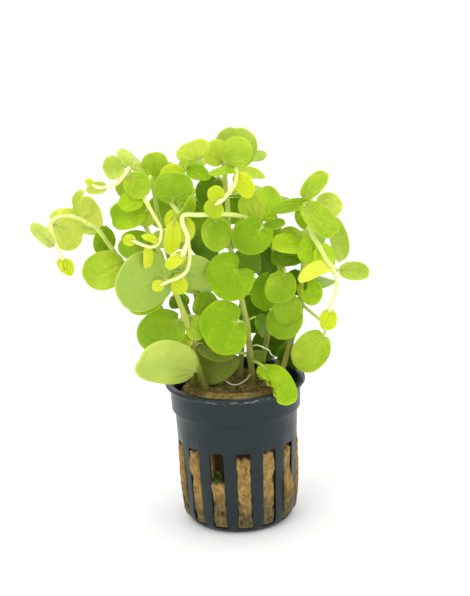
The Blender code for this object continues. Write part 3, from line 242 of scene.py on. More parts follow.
# Small leaves, grown together with their stem in one piece.
SMALL_LEAVES = on_stems(
    ("stem_far_left",
     Leaf("far_left_bud", 0.99, 150, 10, 6, 5, YOUNG, (30, 20), shade=-0.3),
     Leaf("far_left_bud_twin", 0.99, -160, -10, 5, 5, YOUNG, (-30, 20))),
    ("stem_front_left",
     Leaf("low_right_of_stem", 0.28, 110, 10, 7.5, 9),
     Leaf("yellow_shoot", 0.24, -140, 10, 5, 5, YOUNG, (-20, 20)),
     Leaf("dark_under_node", 0.39, 168, -25, 8.5, 7.5, DEEP, (0, 25)),
     Leaf("top_left_under", 0.77, -134, -15, 8, 8, MID, (0, 30)),
     Leaf("top_left_tip", 0.95, -91, 0, 7, 5, PALE, (0, 30)),
     Leaf("top_left_bud", 0.99, -50, 0, 3.5, 2.5, YOUNG, (0, 30))),
    ("stem_left_mid",
     Leaf("bright_left_twin", 0.77, -107, 25, 9, 7, BRIGHT, shade=0.3),
     Leaf("hook_hanging", 0.95, 178, 0, 8, 5, YOUNG, (50, 20)),
     Leaf("hook_bud", 0.985, -70, 5, 4.5, 4, YOUNG),
     Leaf("hook_inner", 0.91, -62, 20, 6.5, 3.5, YOUNG, (0, 60))),
    ("stem_mid_hidden",
     Leaf("top_yellow", 0.63, -60, -5, 9, 9, YOUNG, (0, 15), shade=-0.6),
     Leaf("top_bright", 0.65, 110, 15, 9.2, 6, BRIGHT, (0, 30), (1.9, -0.5, 4.5), 0.5, lobe=0.04, sharp=0.6),
     Leaf("young_left", 0.75, -156, 10, 7, 5.8, YOUNG),
     Leaf("folded_right", 0.77, 35, 34, 11, 7.5, MID, (40, 20), cup=45, sharp=0.5),
     Leaf("drop_round", 0.94, -171, 0, 7, 6, YOUNG),
     Leaf("drop_thin", 0.93, -111, 0, 6, 2.5, YOUNG, (0, 60)),
     Leaf("drop_bud", 0.99, -106, 0, 4.5, 4, YOUNG)),
    ("stem_front",
     Leaf("low_small", 0.14, 98, -5, 6, 4.2, OLIVE),
     Leaf("arched_right", 0.265, 150, -32, 12, 7.4, DEEP, (30, 20), (3.5, 0.8, 0.8), lobe=0.04),
     Leaf("dark_middle", 0.472, 104, -25, 13, 9, DEEP, (0, 30)),
     Leaf("crown_left", 0.855, -84, 10, 9.4, 5.6, BRIGHT, (0, 65), shade=0.6),
     Leaf("crown_yellow", 0.865, 149, 20, 9.6, 6.8, YOUNG, cup=34, curl=-34),
     Leaf("crown_right", 0.855, 102, -15, 11, 4.6, MID, (0, 40), shade=0.4),
     Leaf("crown_tip", 0.985, -139, 5, 6, 7, YOUNG, shade=-0.8),
     Leaf("crown_tip_twin", 0.98, -30, 5, 6, 6, YOUNG, shade=-0.6)),
    ("stem_arch",
     Leaf("arch_tip", 0.985, -125, 10, 7.5, 4.5, YOUNG, (0, 40)),
     Leaf("arch_tip_twin", 0.98, -140, -15, 6, 4.5, YOUNG),
     Leaf("right_middle", 0.345, 168, 4, 11.5, 10, MID, (0, 25), (1.3, -9, -0.6)),
     Leaf("centre_fold", 0.65, -167, 0, 11, 8, MID, (-30, 20), cup=50),
     Leaf("centre_point", 0.57, 70, 10, 8.6, 4.6, MID, (0, 40), cup=36),
     Leaf("centre_under", 0.55, 125, 18, 8, 7)),
    ("stem_right_long",
     Leaf("right_dark", 0.535, -88, 10, 12, 7.5, DEEP, (0, 30)),
     Leaf("right_shadow", 0.47, -150, -20, 10.5, 9, DEEP, (-20, 20)),
     Leaf("right_round", 0.44, 146, 5, 10.5, 8.6, BRIGHT, shade=0.4),
     Leaf("right_folded", 0.83, -92, 20, 13, 8, YOUNG, (0, 60), shade=0.35, cup=48, curl=-40),
     Leaf("right_low_behind", 0.19, -178, -10, 12, 10, DEEP, (-20, 20)),
     Leaf("right_tip", 0.985, -169, 5, 7.5, 7, YOUNG, shade=-0.3, cup=55, curl=30),
     Leaf("right_hanging", 0.74, 158, -15, 12, 8.5, BRIGHT, (15, 20), shade=0.5),
     Leaf("right_hanging_twin", 0.7, -163, 5, 10.5, 8, BRIGHT, shade=0.5)),
    ("stem_right_top",
     Leaf("right_pale", 0.93, 100, -15, 9.2, 9.6, PALE, shade=0.3, cup=34, curl=20),
     Leaf("right_small", 0.84, -165, -10, 9.5, 7, BRIGHT, (-20, 20)),
     Leaf("right_back", 0.985, 166, -10, 17, 7.2, PALE, (15, 20), (5.4, 1, -2.5), -0.2, cup=30)),
    ("stem_far_left",
     Leaf("far_left_back_pair", 0.4, -60, -45, 12, 13, MID, (0, 70))),
    ("stem_left_mid",
     Leaf("left_mid_back_leaf", 0.36, -20, -60, 13, 14, MID, (0, 70))),
    ("stem_right_top",
     Leaf("right_top_side_leaf", 0.45, 75, -35, 14, 14, MID, (0, 75)),
     Leaf("right_top_back_leaf", 0.62, 20, -60, 13, 13, MID, (0, 70))),
    ("stem_back_mid",
     Leaf("behind_front_stem", 0.385, 176, 0, 17, 12, DEEP, (0, 20), (2.9, -5, 0.9), -0.2, lobe=0.07)),
    ("stem_back_right",
     Leaf("behind_low_right", 0.28, 168, 0, 13, 14, DEEP, (0, 20), (-2.4, -6, 3.2), -0.6, lobe=0.07)),
    ("stem_back_mid",
     Leaf("behind_dark_middle", 0.575, 150, 0, 12.5, 12, DEEP, (0, 20), (5.9, -7.4, 0.1), -0.1, lobe=0.07),
     Leaf("behind_arch_right", 0.825, 184, 0, 12, 12, MID, (0, 20), (-2.5, -5.2, -1.1), -0.2, lobe=0.07)),
    ("stem_back_left",
     Leaf("behind_arch_left", 0.83, 150, 0, 12.5, 12, MID, (0, 20), (3.2, -5.4, -0.9), -0.2, lobe=0.07),
     Leaf("behind_folded", 0.855, -150, 0, 13, 12, MID, (0, 20), (-4.1, -5, -0.8), lobe=0.07)),
)

# Opposite pairs on the sides and the back, as (stem, share of its length, heading,
# length, width). The heading turns from the right toward the back.
LEAF_PAIRS = (
    ("stem_back_left", 0.42, 110, 14, 15),
    ("stem_back_left", 0.62, 20, 14, 15),
    ("stem_back_left", 0.81, 110, 13, 14),
    ("stem_back_left", 0.97, 40, 10, 10),
    ("stem_back_mid", 0.38, 60, 14, 15),
    ("stem_back_mid", 0.58, 150, 14, 15),
    ("stem_back_mid", 0.78, 60, 13, 14),
    ("stem_back_mid", 0.97, 150, 10, 10),
    ("stem_back_right", 0.45, 80, 14, 14),
    ("stem_back_right", 0.70, 170, 14, 15),
    ("stem_back_right", 0.96, 80, 11, 12),
)
PAIR_RISE = 20                 # how far the paired leaves point upward, in degrees
PAIR_LOOK = (0, 75)            # they look up, and a little toward the front

# Loose roots at the nodes of the front stem, as routes in mm.
ROOTS = (
    ((6, -1, 54), (4.2, -2.6, 52), (1.6, -3.4, 50.6), (-1, -3.4, 50.4), (-4, -3, 52.2)),
    ((5.6, -3, 64), (8, -5.6, 65.4), (10.6, -6, 64.4), (12.2, -5.8, 63.4), (13.2, -5.2, 61.4),
     (14.8, -4.4, 60.2)),
)
ROOT_RADIUS = 0.35
ROOT_TAPER = 0.6
ROOTED_STEM = "stem_front"
GREEN_FROM = 0.3               # share of the front stem from where it stays green for long
GREEN_POWER = 2.4


# Helpers for shapes


WELD_METRES = 1e-7


def deselect() -> None:
    """Leave nothing selected, so that an operator acts on the new piece alone."""
    bpy.ops.object.select_all(action="DESELECT")


def merged(mesh: bpy.types.Mesh) -> None:
    """Weld the vertices of a mesh that lie in one place.

    Args:
        mesh: the mesh to weld.
    """
    welder = bmesh.new()
    welder.from_mesh(mesh)
    bmesh.ops.remove_doubles(welder, verts=welder.verts, dist=WELD_METRES)
    welder.to_mesh(mesh)
    welder.free()


def joined(name: str, pieces: Sequence[bpy.types.Object]) -> bpy.types.Object:
    """Join objects into one.

    Args:
        name: the name of the result.
        pieces: the objects, the first of which takes in the others.

    Returns:
        The joined object.
    """
    deselect()
    for piece in pieces:
        piece.select_set(True)
    bpy.context.view_layer.objects.active = pieces[0]
    if len(pieces) > 1:
        bpy.ops.object.join()
    pieces[0].name = name
    pieces[0].data.name = name
    return pieces[0]


def placed(name: str, mesh: bpy.types.Mesh) -> bpy.types.Object:
    """Link a mesh as an object at the origin."""
    piece = bpy.data.objects.new(name, mesh)
    bpy.context.scene.collection.objects.link(piece)
    return piece


def write_values(mesh: bpy.types.Mesh, name: str, values: np.ndarray) -> None:
    """Keep one number for each vertex of a mesh under a name."""
    attribute = mesh.attributes.get(name) or mesh.attributes.new(name, "FLOAT", "POINT")
    attribute.data.foreach_set("value", np.ascontiguousarray(values, np.float32))


def read_points(mesh: bpy.types.Mesh) -> np.ndarray:
    """The vertices of a mesh, in metres, one row each."""
    points = np.empty(len(mesh.vertices) * 3, np.float32)
    mesh.vertices.foreach_get("co", points)
    return points.reshape(-1, 3).astype(float)


def write_points(mesh: bpy.types.Mesh, points: np.ndarray) -> None:
    """Move the vertices of a mesh to places given in metres."""
    mesh.vertices.foreach_set("co", np.ascontiguousarray(points, np.float32).ravel())
    mesh.update()


def lumps(points: np.ndarray, pitch: float, seed: float = 0.0) -> np.ndarray:
    """Smooth noise at each point.

    Args:
        points: places in mm, one row each.
        pitch: distance between two lumps.
        seed: shift that gives another pattern.

    Returns:
        A value from about -1 to 1 for each point.
    """
    shift = Vector((seed, -seed, seed / 2))
    return np.array([noise.noise(Vector(p) / pitch + shift) for p in points])


def ease(low: float, high: float, value: Union[float, np.ndarray]) -> np.ndarray:
    """Smooth step from 0 at low to 1 at high."""
    share = np.clip((value - low) / (high - low), 0.0, 1.0)
    return share * share * (3 - 2 * share)


def direction(lean: float, toward: float) -> np.ndarray:
    """Unit vector seen from the front: lean clockwise from up, toward the front."""
    turn, rise = math.radians(lean), math.radians(toward)
    return np.array((math.sin(turn) * math.cos(rise), -math.sin(rise),
                     math.cos(turn) * math.cos(rise)))


def around(angle: np.ndarray, radius: Union[float, np.ndarray] = 1.0,
           height: Union[float, np.ndarray] = 0.0) -> np.ndarray:
    """Places round the pot's axis.

    Args:
        angle: their angles from the front toward the right.
        radius: their distances from the axis.
        height: their heights.

    Returns:
        The places, one row each.
    """
    across, back = radius * np.sin(angle), -radius * np.cos(angle)
    return np.stack(np.broadcast_arrays(across, back, height), axis=-1)


class Route:
    """A smooth line through given points, as a stem, a petiole or a root runs."""

    def __init__(self, knots: Sequence[tuple], step: float = 1.0) -> None:
        """Lay the line.

        Args:
            knots: the points that it passes, in mm.
            step: distance between the points that it is drawn with.
        """
        ends = [np.array(p, float) for p in knots]
        ends = [2 * ends[0] - ends[1]] + ends + [2 * ends[-1] - ends[-2]]
        points = []
        for before, start, end, after in zip(ends, ends[1:], ends[2:], ends[3:]):
            count = max(1, round(float(np.linalg.norm(end - start)) / step))
            for i in range(count):
                t = i / count
                points.append(0.5 * (2 * start + (end - before) * t
                                     + (2 * before - 5 * start + 4 * end - after) * t * t
                                     + (3 * start - before - 3 * end + after) * t ** 3))
        points.append(ends[-2])
        self.points = np.array(points)
        self.steps = np.linalg.norm(np.diff(self.points, axis=0), axis=1)
        self.shares = np.concatenate(([0.0], np.cumsum(self.steps))) / self.steps.sum()

    @property
    def length(self) -> float:
        """Length of the line."""
        return float(self.steps.sum())

    def at(self, share: float) -> tuple:
        """Find a place on the line.

        Args:
            share: share of the line's length before that place.

        Returns:
            The point and the unit vector along the line there.
        """
        i = int(np.clip(np.searchsorted(self.shares, share) - 1, 0, len(self.steps) - 1))
        t = (share - self.shares[i]) / (self.shares[i + 1] - self.shares[i])
        step = self.points[i + 1] - self.points[i]
        return self.points[i] + step * min(t, 1.0), step / np.linalg.norm(step)


def tube(name: str, route: np.ndarray, radii: np.ndarray, sides: int,
         material: bpy.types.Material) -> bpy.types.Object:
    """Draw a round closed tube along a line.

    Args:
        name: the name of the piece.
        route: points of the line in mm, one row each.
        radii: the radius at each point.
        sides: number of sides, an even number from 4.
        material: what it is made of.

    Returns:
        The tube as a mesh object, with its place on the line as "along", from 0 to 1.
    """
    deselect()
    bpy.ops.curve.primitive_nurbs_path_add()
    piece = bpy.context.object
    curve = piece.data
    curve.dimensions = "3D"
    curve.splines.clear()
    spline = curve.splines.new("POLY")
    spline.points.add(len(route) - 1)
    spline.points.foreach_set("co", np.column_stack((route * MM, np.ones(len(route)))).ravel())
    spline.points.foreach_set("radius", np.asarray(radii, float))
    curve.bevel_depth = MM
    curve.bevel_resolution = (sides - 4) // 2
    curve.use_fill_caps = True
    bpy.ops.object.convert(target="MESH")
    piece = bpy.context.object
    piece.name = name
    mesh = piece.data
    mesh.materials.clear()
    mesh.materials.append(material)
    merged(mesh)
    points = read_points(mesh) / MM
    along = np.linspace(0.0, 1.0, len(route))
    nearest = np.array([int(np.argmin(((route - p) ** 2).sum(axis=1))) for p in points])
    write_values(mesh, "along", along[nearest])
    mesh.shade_smooth()
    return piece


# Helpers for finishes


def linear(colour: Sequence[float]) -> tuple:
    """Linear values, with alpha, of an sRGB colour."""
    values = [c / 12.92 if c <= 0.04045 else ((c + 0.055) / 1.055) ** 2.4 for c in colour]
    return (*values, 1.0)


Input = Union[float, tuple, bpy.types.NodeSocket]


class Palette:
    """The nodes of one material, with a short call for each kind that is used."""

    def __init__(self, name: str) -> None:
        """Start a material with its shader.

        Args:
            name: the material's name.
        """
        self.material = bpy.data.materials.new(name)
        self.material.use_nodes = True
        self.nodes = self.material.node_tree.nodes
        self.links = self.material.node_tree.links
        self.shader = self.nodes["Principled BSDF"]
        self.place = self.add("ShaderNodeTexCoord").outputs["Object"]

    def feed(self, socket: bpy.types.NodeSocket, value: Input) -> None:
        """Set a socket's value, or link another socket to it.

        Args:
            socket: the input to feed.
            value: its value, or the output that it is linked to.
        """
        if isinstance(value, bpy.types.NodeSocket):
            self.links.new(value, socket)
        else:
            socket.default_value = value

    def add(self, kind: str, inputs: Optional[dict] = None, **settings: object) -> bpy.types.Node:
        """Add a node.

        Args:
            kind: Blender's name for it.
            inputs: values or sockets by the input's name or number.
            settings: the node's own properties.

        Returns:
            The node.
        """
        node = self.nodes.new(kind)
        for name, value in settings.items():
            setattr(node, name, value)
        for key, value in (inputs or {}).items():
            self.feed(node.inputs[key], value)
        return node

    def math(self, operation: str, *values: Input) -> bpy.types.NodeSocket:
        """The result of a calculation with one to three values."""
        return self.add("ShaderNodeMath", dict(enumerate(values)), operation=operation).outputs[0]

    def scaled(self, value: Input, factor: Input, more: Input = 0.0) -> bpy.types.NodeSocket:
        """A value times a factor, with more added to it."""
        return self.math("MULTIPLY_ADD", value, factor, more)

    def fade(self, value: Input, low: float, high: float) -> bpy.types.NodeSocket:
        """Smooth step from 0 at low to 1 at high, the other way where high is less."""
        inputs = {"Value": value, "From Min": low, "From Max": high}
        return self.add("ShaderNodeMapRange", inputs, interpolation_type="SMOOTHSTEP").outputs[0]

    def blend(self, share: Input, first: Input, second: Input) -> bpy.types.NodeSocket:
        """The colour between two colours.

        Args:
            share: how much of the second colour, from 0 to 1.
            first: the first colour.
            second: the second colour.

        Returns:
            The colour.
        """
        node = self.add("ShaderNodeMix", data_type="RGBA")
        for number, value in ((0, share), (6, first), (7, second)):
            self.feed(node.inputs[number], value)
        return node.outputs[2]

    def grain(self, per_metre: float, detail: float = 2.0, rough: float = 0.5,
              vector: Optional[bpy.types.NodeSocket] = None) -> bpy.types.NodeSocket:
        """Noise from 0 to 1.

        Args:
            per_metre: number of lumps in a metre.
            detail: number of finer layers.
            rough: strength of the finer layers.
            vector: the coordinates, by default the object's.

        Returns:
            The noise's value.
        """
        inputs = {"Vector": vector or self.place, "Scale": per_metre, "Detail": detail,
                  "Roughness": rough}
        return self.add("ShaderNodeTexNoise", inputs).outputs[0]

    def drift(self, reach: float, per_metre: float, detail: float = 2.0,
              rough: float = 0.5) -> bpy.types.NodeSocket:
        """Noise about 0, up to half of its reach to either side."""
        return self.scaled(self.grain(per_metre, detail, rough), reach, -reach / 2)

    def value(self, name: str) -> bpy.types.NodeSocket:
        """A number that the mesh keeps for each vertex."""
        return self.add("ShaderNodeAttribute", attribute_name=name).outputs["Fac"]

    def axes(self, vector: bpy.types.NodeSocket) -> bpy.types.NodeOutputs:
        """The three numbers of a vector."""
        return self.add("ShaderNodeSeparateXYZ", {0: vector}).outputs

    def stretched(self, scale: tuple) -> bpy.types.NodeSocket:
        """The object's coordinates drawn out along its axes."""
        return self.add("ShaderNodeMapping", {"Vector": self.place, "Scale": scale}).outputs[0]

    def steps(self, share: Input, stops: Sequence[tuple]) -> bpy.types.NodeSocket:
        """The colour at a share of a row of colours.

        Args:
            share: place in the row.
            stops: (place, sRGB colour) for each colour.

        Returns:
            The colour.
        """
        node = self.add("ShaderNodeValToRGB", {"Fac": share})
        ramp = node.color_ramp
        for place, _ in stops[1:-1]:
            ramp.elements.new(place)
        for element, (place, colour) in zip(ramp.elements, stops):
            element.position = place
            element.color = linear(colour)
        return node.outputs["Color"]

    def relief(self, height: Input, distance_mm: float, strength: float = 1.0) -> None:
        """Let a height show on the surface.

        Args:
            height: the height, 1 being the distance.
            distance_mm: what a height of 1 measures.
            strength: share of it that shows.
        """
        inputs = {"Height": height, "Distance": distance_mm * MM, "Strength": strength}
        self.feed(self.shader.inputs["Normal"], self.add("ShaderNodeBump", inputs).outputs[0])

    def finish(self, colour: Input, roughness: Input, **sockets: Input) -> bpy.types.Material:
        """Set the shader.

        Args:
            colour: its base colour.
            roughness: its roughness.
            sockets: other inputs, with _ for a space in the name.

        Returns:
            The finished material.
        """
        self.feed(self.shader.inputs["Base Color"], colour)
        self.feed(self.shader.inputs["Roughness"], roughness)
        for name, value in sockets.items():
            self.feed(self.shader.inputs[name.replace("_", " ")], value)
        return self.material


# Leaves

VEIN_PITCH = math.radians(33.3)   # angle between two main veins at the petiole
VEIN_TURNS = 10.0                 # main veins that the width of the leaf's map holds
VEIN_MAP = 25.0                   # length that the height of the leaf's map holds


@dataclass(frozen=True)
class LeafSide:
    """What differs between the two sides of a leaf.

    paler: share of the underside's green in its colours.
    vein: how strongly the main veins are coloured.
    height: height of the veins, below 0 where they are grooves.
    depth: share of the relief that shows.
    rougher: what is added to the roughness.
    """

    name: str
    paler: float
    vein: float
    height: float
    depth: float
    rougher: float


LEAF_SIDES = (LeafSide("upper", 0.0, 0.36, -1.0, 0.55, 0.0),
              LeafSide("under", 0.45, 0.5, 1.4, 0.65, 0.16))


@dataclass(frozen=True)
class LeafFinish:
    """How one tone of leaf looks: its slot, its greens and how it takes light."""

    slot: str
    dark: tuple
    middle: tuple
    light: tuple
    under: tuple
    gloss: float = 0.37

    def vein_lines(self, sheet: Palette) -> tuple:
        """Draw the veins on the leaf's own map.

        Args:
            sheet: the material's nodes.

        Returns:
            Main veins, side veins and the fine net between them, each from 0 to 1.
        """
        chart = sheet.axes(sheet.add("ShaderNodeUVMap", uv_map="veins").outputs[0])
        number = sheet.scaled(chart[0], VEIN_TURNS, -VEIN_TURNS / 2)
        distance = sheet.scaled(chart[1], VEIN_MAP)
        beside = sheet.math("PINGPONG", number, 0.5)
        width = sheet.scaled(sheet.scaled(beside, distance), VEIN_PITCH)
        main = sheet.scaled(sheet.fade(width, 0.24, 0.04), sheet.fade(distance, 10.0, 1.5))
        rank = sheet.scaled(beside, -2.1, sheet.scaled(sheet.grain(420.0), 0.7))
        rank = sheet.scaled(distance, 0.46, rank)
        side = sheet.scaled(sheet.fade(sheet.math("PINGPONG", rank, 0.5), 0.10, 0.02),
                            sheet.fade(distance, 1.0, 4.0))
        cells = sheet.add("ShaderNodeTexVoronoi", {"Vector": sheet.place, "Scale": 900.0},
                          feature="DISTANCE_TO_EDGE").outputs["Distance"]
        return main, side, sheet.fade(cells, 0.12, 0.0)

    def material(self, face: LeafSide) -> bpy.types.Material:
        """Make the material of one side of the leaf.

        Args:
            face: the side of the leaf.

        Returns:
            The material.
        """
        sheet = Palette(f"{self.slot}_{face.name}")
        main, side, net = self.vein_lines(sheet)
        # The leaf's shade (painted light and shade together with its own tone) and two layers of noise
        # choose its green.
        share = sheet.scaled(sheet.value("shade"), 0.42, 0.5)
        share = sheet.math("ADD", share, sheet.drift(0.84, 110.0, 3.0))
        share = sheet.math("ADD", share, sheet.drift(0.56, 1100.0, 3.0, 0.7))
        greens = [tuple((1 - face.paler) * own + face.paler * below
                        for own, below in zip(green, self.under))
                  for green in (self.dark, self.middle, self.light)]
        colour = sheet.steps(share, tuple(zip((0.0, 0.5, 1.0), greens)))
        # Painted light: the margin is lit up as if light shone through the thin edge. The pale spot at the
        # blade's foot is the leaf's own colour.
        rim = sheet.scaled(sheet.fade(sheet.value("rim"), 0.93, 1.0), 0.26)
        foot = sheet.scaled(sheet.fade(sheet.value("rim"), 0.16, 0.0), 0.55)
        colour = sheet.blend(sheet.math("MAXIMUM", rim, foot), colour, linear(self.light))
        lines = sheet.math("MAXIMUM", sheet.scaled(main, face.vein), sheet.scaled(side, 0.17))
        lines = sheet.math("MAXIMUM", lines, sheet.scaled(net, 0.09))
        colour = sheet.blend(lines, colour, linear(self.under))
        height = sheet.scaled(net, 0.25, sheet.scaled(side, 0.45, main))
        height = sheet.scaled(sheet.grain(2600.0), 0.5, sheet.scaled(height, face.height))
        sheet.relief(height, 0.13, face.depth)
        rough = sheet.scaled(sheet.grain(600.0), 0.16, self.gloss + face.rougher)
        return sheet.finish(colour, rough, Subsurface_Weight=0.75, Subsurface_Scale=0.9 * MM,
                            Subsurface_Radius=(0.9, 1.0, 0.2), Specular_IOR_Level=0.40,
                            Specular_Tint=LEAF_SHEEN)


LEAF_SHEEN = (0.86, 1.0, 0.36, 1.0)
LEAF_FINISHES = {
    Tone.BRIGHT: LeafFinish("leaf_bright", (0.39, 0.54, 0.005), (0.52, 0.67, 0.01),
                            (0.76, 0.86, 0.15), (0.76, 0.85, 0.26)),
    Tone.MID: LeafFinish("leaf_green", (0.42, 0.56, 0.03), (0.56, 0.69, 0.08),
                         (0.80, 0.85, 0.30), (0.74, 0.81, 0.34)),
    # This tone's greens are painted shade: a darker copy of the leaf green for leaves that lie in shade.
    Tone.DEEP: LeafFinish("leaf_dark", (0.24, 0.38, 0.02), (0.36, 0.51, 0.04),
                          (0.50, 0.64, 0.08), (0.60, 0.70, 0.24)),
    Tone.PALE: LeafFinish("leaf_underside", (0.46, 0.60, 0.12), (0.67, 0.75, 0.25),
                          (0.89, 0.90, 0.46), (0.79, 0.84, 0.50)),
    Tone.YOUNG: LeafFinish("leaf_young", (0.66, 0.74, 0.04), (0.79, 0.84, 0.11),
                           (0.91, 0.92, 0.38), (0.88, 0.90, 0.46)),
    Tone.OLIVE: LeafFinish("leaf_olive", (0.32, 0.38, 0.08), (0.45, 0.51, 0.16),
                           (0.57, 0.63, 0.26), (0.62, 0.67, 0.34), 0.5),
}


@dataclass(frozen=True)
class StalkFinish:
    """The skin of the stems, petioles or roots, from their foot to their tip."""

    name: str
    stops: tuple
    gloss: float = 0.4
    streak: tuple = (0.42, 0.46, 0.14)

    def material(self) -> bpy.types.Material:
        """Make the material.

        Returns:
            The material.
        """
        sheet = Palette(self.name)
        share = sheet.math("ADD", sheet.value("along"), sheet.drift(0.24, 260.0, 3.0))
        fibre = sheet.grain(2400.0, 2.0, 0.5, sheet.stretched((1.0, 1.0, 0.12)))
        dark = sheet.scaled(sheet.fade(fibre, 0.5, 0.75), 0.22)
        colour = sheet.blend(dark, sheet.steps(share, self.stops), linear(self.streak))
        sheet.relief(fibre, 0.12, 0.35)
        return sheet.finish(colour, self.gloss, Subsurface_Weight=0.5, Subsurface_Scale=1.0 * MM,
                            Subsurface_Radius=(1.0, 0.9, 0.3), Specular_IOR_Level=0.4)


STEM_FINISH = StalkFinish("stem_skin", (
    (0.0, (0.40, 0.36, 0.18)), (0.10, (0.57, 0.57, 0.26)), (0.30, (0.69, 0.73, 0.31)),
    (0.55, (0.73, 0.80, 0.33)), (0.75, (0.86, 0.91, 0.50)), (0.95, (0.96, 0.97, 0.70))))
BACK_STEM_FINISH = StalkFinish("back_stem_skin", (
    (0.0, (0.50, 0.50, 0.22)), (0.5, (0.58, 0.66, 0.22)), (1.0, (0.66, 0.78, 0.28))))
PETIOLE_FINISH = StalkFinish("petiole_skin", (
    (0.0, (0.66, 0.74, 0.30)), (0.4, (0.72, 0.82, 0.36)), (1.0, (0.80, 0.88, 0.46))))
ROOT_FINISH = StalkFinish("root_skin", (
    (0.0, (0.72, 0.62, 0.42)), (0.5, (0.90, 0.88, 0.76)), (1.0, (0.94, 0.94, 0.88))), 0.5)


class LeafBlank:
    """A two-sided grid, modelled once, that every leaf of one size is fanned out from."""

    def __init__(self, rays: int, rings: int) -> None:
        """Model the grid.

        Args:
            rays: steps across the leaf, from one side of the petiole round to the other.
            rings: steps from the petiole to the margin.
        """
        deselect()
        bpy.ops.mesh.primitive_grid_add(x_subdivisions=rays, y_subdivisions=rings, size=2)
        bpy.ops.object.mode_set(mode="EDIT")
        bpy.ops.mesh.select_all(action="SELECT")
        bpy.ops.mesh.duplicate()
        bpy.ops.mesh.flip_normals()
        bpy.ops.object.mode_set(mode="OBJECT")
        grid = bpy.context.object
        self.mesh = grid.data
        bpy.data.objects.remove(grid)
        places = read_points(self.mesh)
        self.rays, self.rings = rays, rings
        self.column = np.rint((places[:, 0] + 1) / 2 * rays).astype(int)
        self.row = np.rint((places[:, 1] + 1) / 2 * rings).astype(int)
        self.upper = np.arange(len(places)) < len(places) // 2
        self.corners = np.empty(len(self.mesh.loops), np.int32)
        self.mesh.loops.foreach_get("vertex_index", self.corners)
        sides = np.zeros(len(self.mesh.polygons), np.int32)
        sides[len(sides) // 2:] = 1
        self.mesh.polygons.foreach_set("material_index", sides)


# How far a blade turns round its petiole, in degrees, by the size of its lobes.
LOBED_REACH = 150.0
ROUND_REACH = 132.0
WEDGE_REACH = 100.0
SESSILE_REACH = 78.0
WEDGE_LOBE = 0.08
ROUND_LOBE = 0.18

# The margin: how far it draws in beside the petiole, at the tip and between two veins.
LOBED_BASE = 0.30
ROUND_BASE = 0.16
TIP_NOTCH = 0.035
TIP_NOTCH_WIDTH = 0.16
VEIN_SCALLOP = 0.010
MARGIN_START = 0.1

# The torn side: its narrow place along the leaf, and its teeth as (height, rate, shift).
TEAR_DEPTH = 0.36
TEAR_MIDDLE = 0.48
TEAR_SPREAD = 0.19
TEAR_TAIL = 0.34
TEAR_TEETH = ((0.35, 1.7, 0.0), (0.34, 4.1, 0.0), (0.24, 9.3, 1.0))

# How the blade is bent, and how its grid is spaced toward the margin.
WAVE_HEIGHT = 0.50
WAVE_TURNS = 2.4
RIPPLE_HEIGHT = 0.28
RIPPLE_TURNS = 5.3
FULL_RIPPLE_LENGTH = 12
RING_POWER = 1.55
SIDE_EDGE_STEPS = 1.6
FOOT_EDGE = 0.04
VEIN_WIDTH = 0.3

# The petiole: its start beside the stem, and the midrib that it runs into.
STEM_GAP = 0.3
STALK_REACH = 0.8
SHORTEST_STALK = 0.4
SOLID_PETIOLE = 0.65
STALK_STEP = 0.6
FOOT_SWELL = 1.18
RIB_END = 0.72
RIB_POINTS = 9


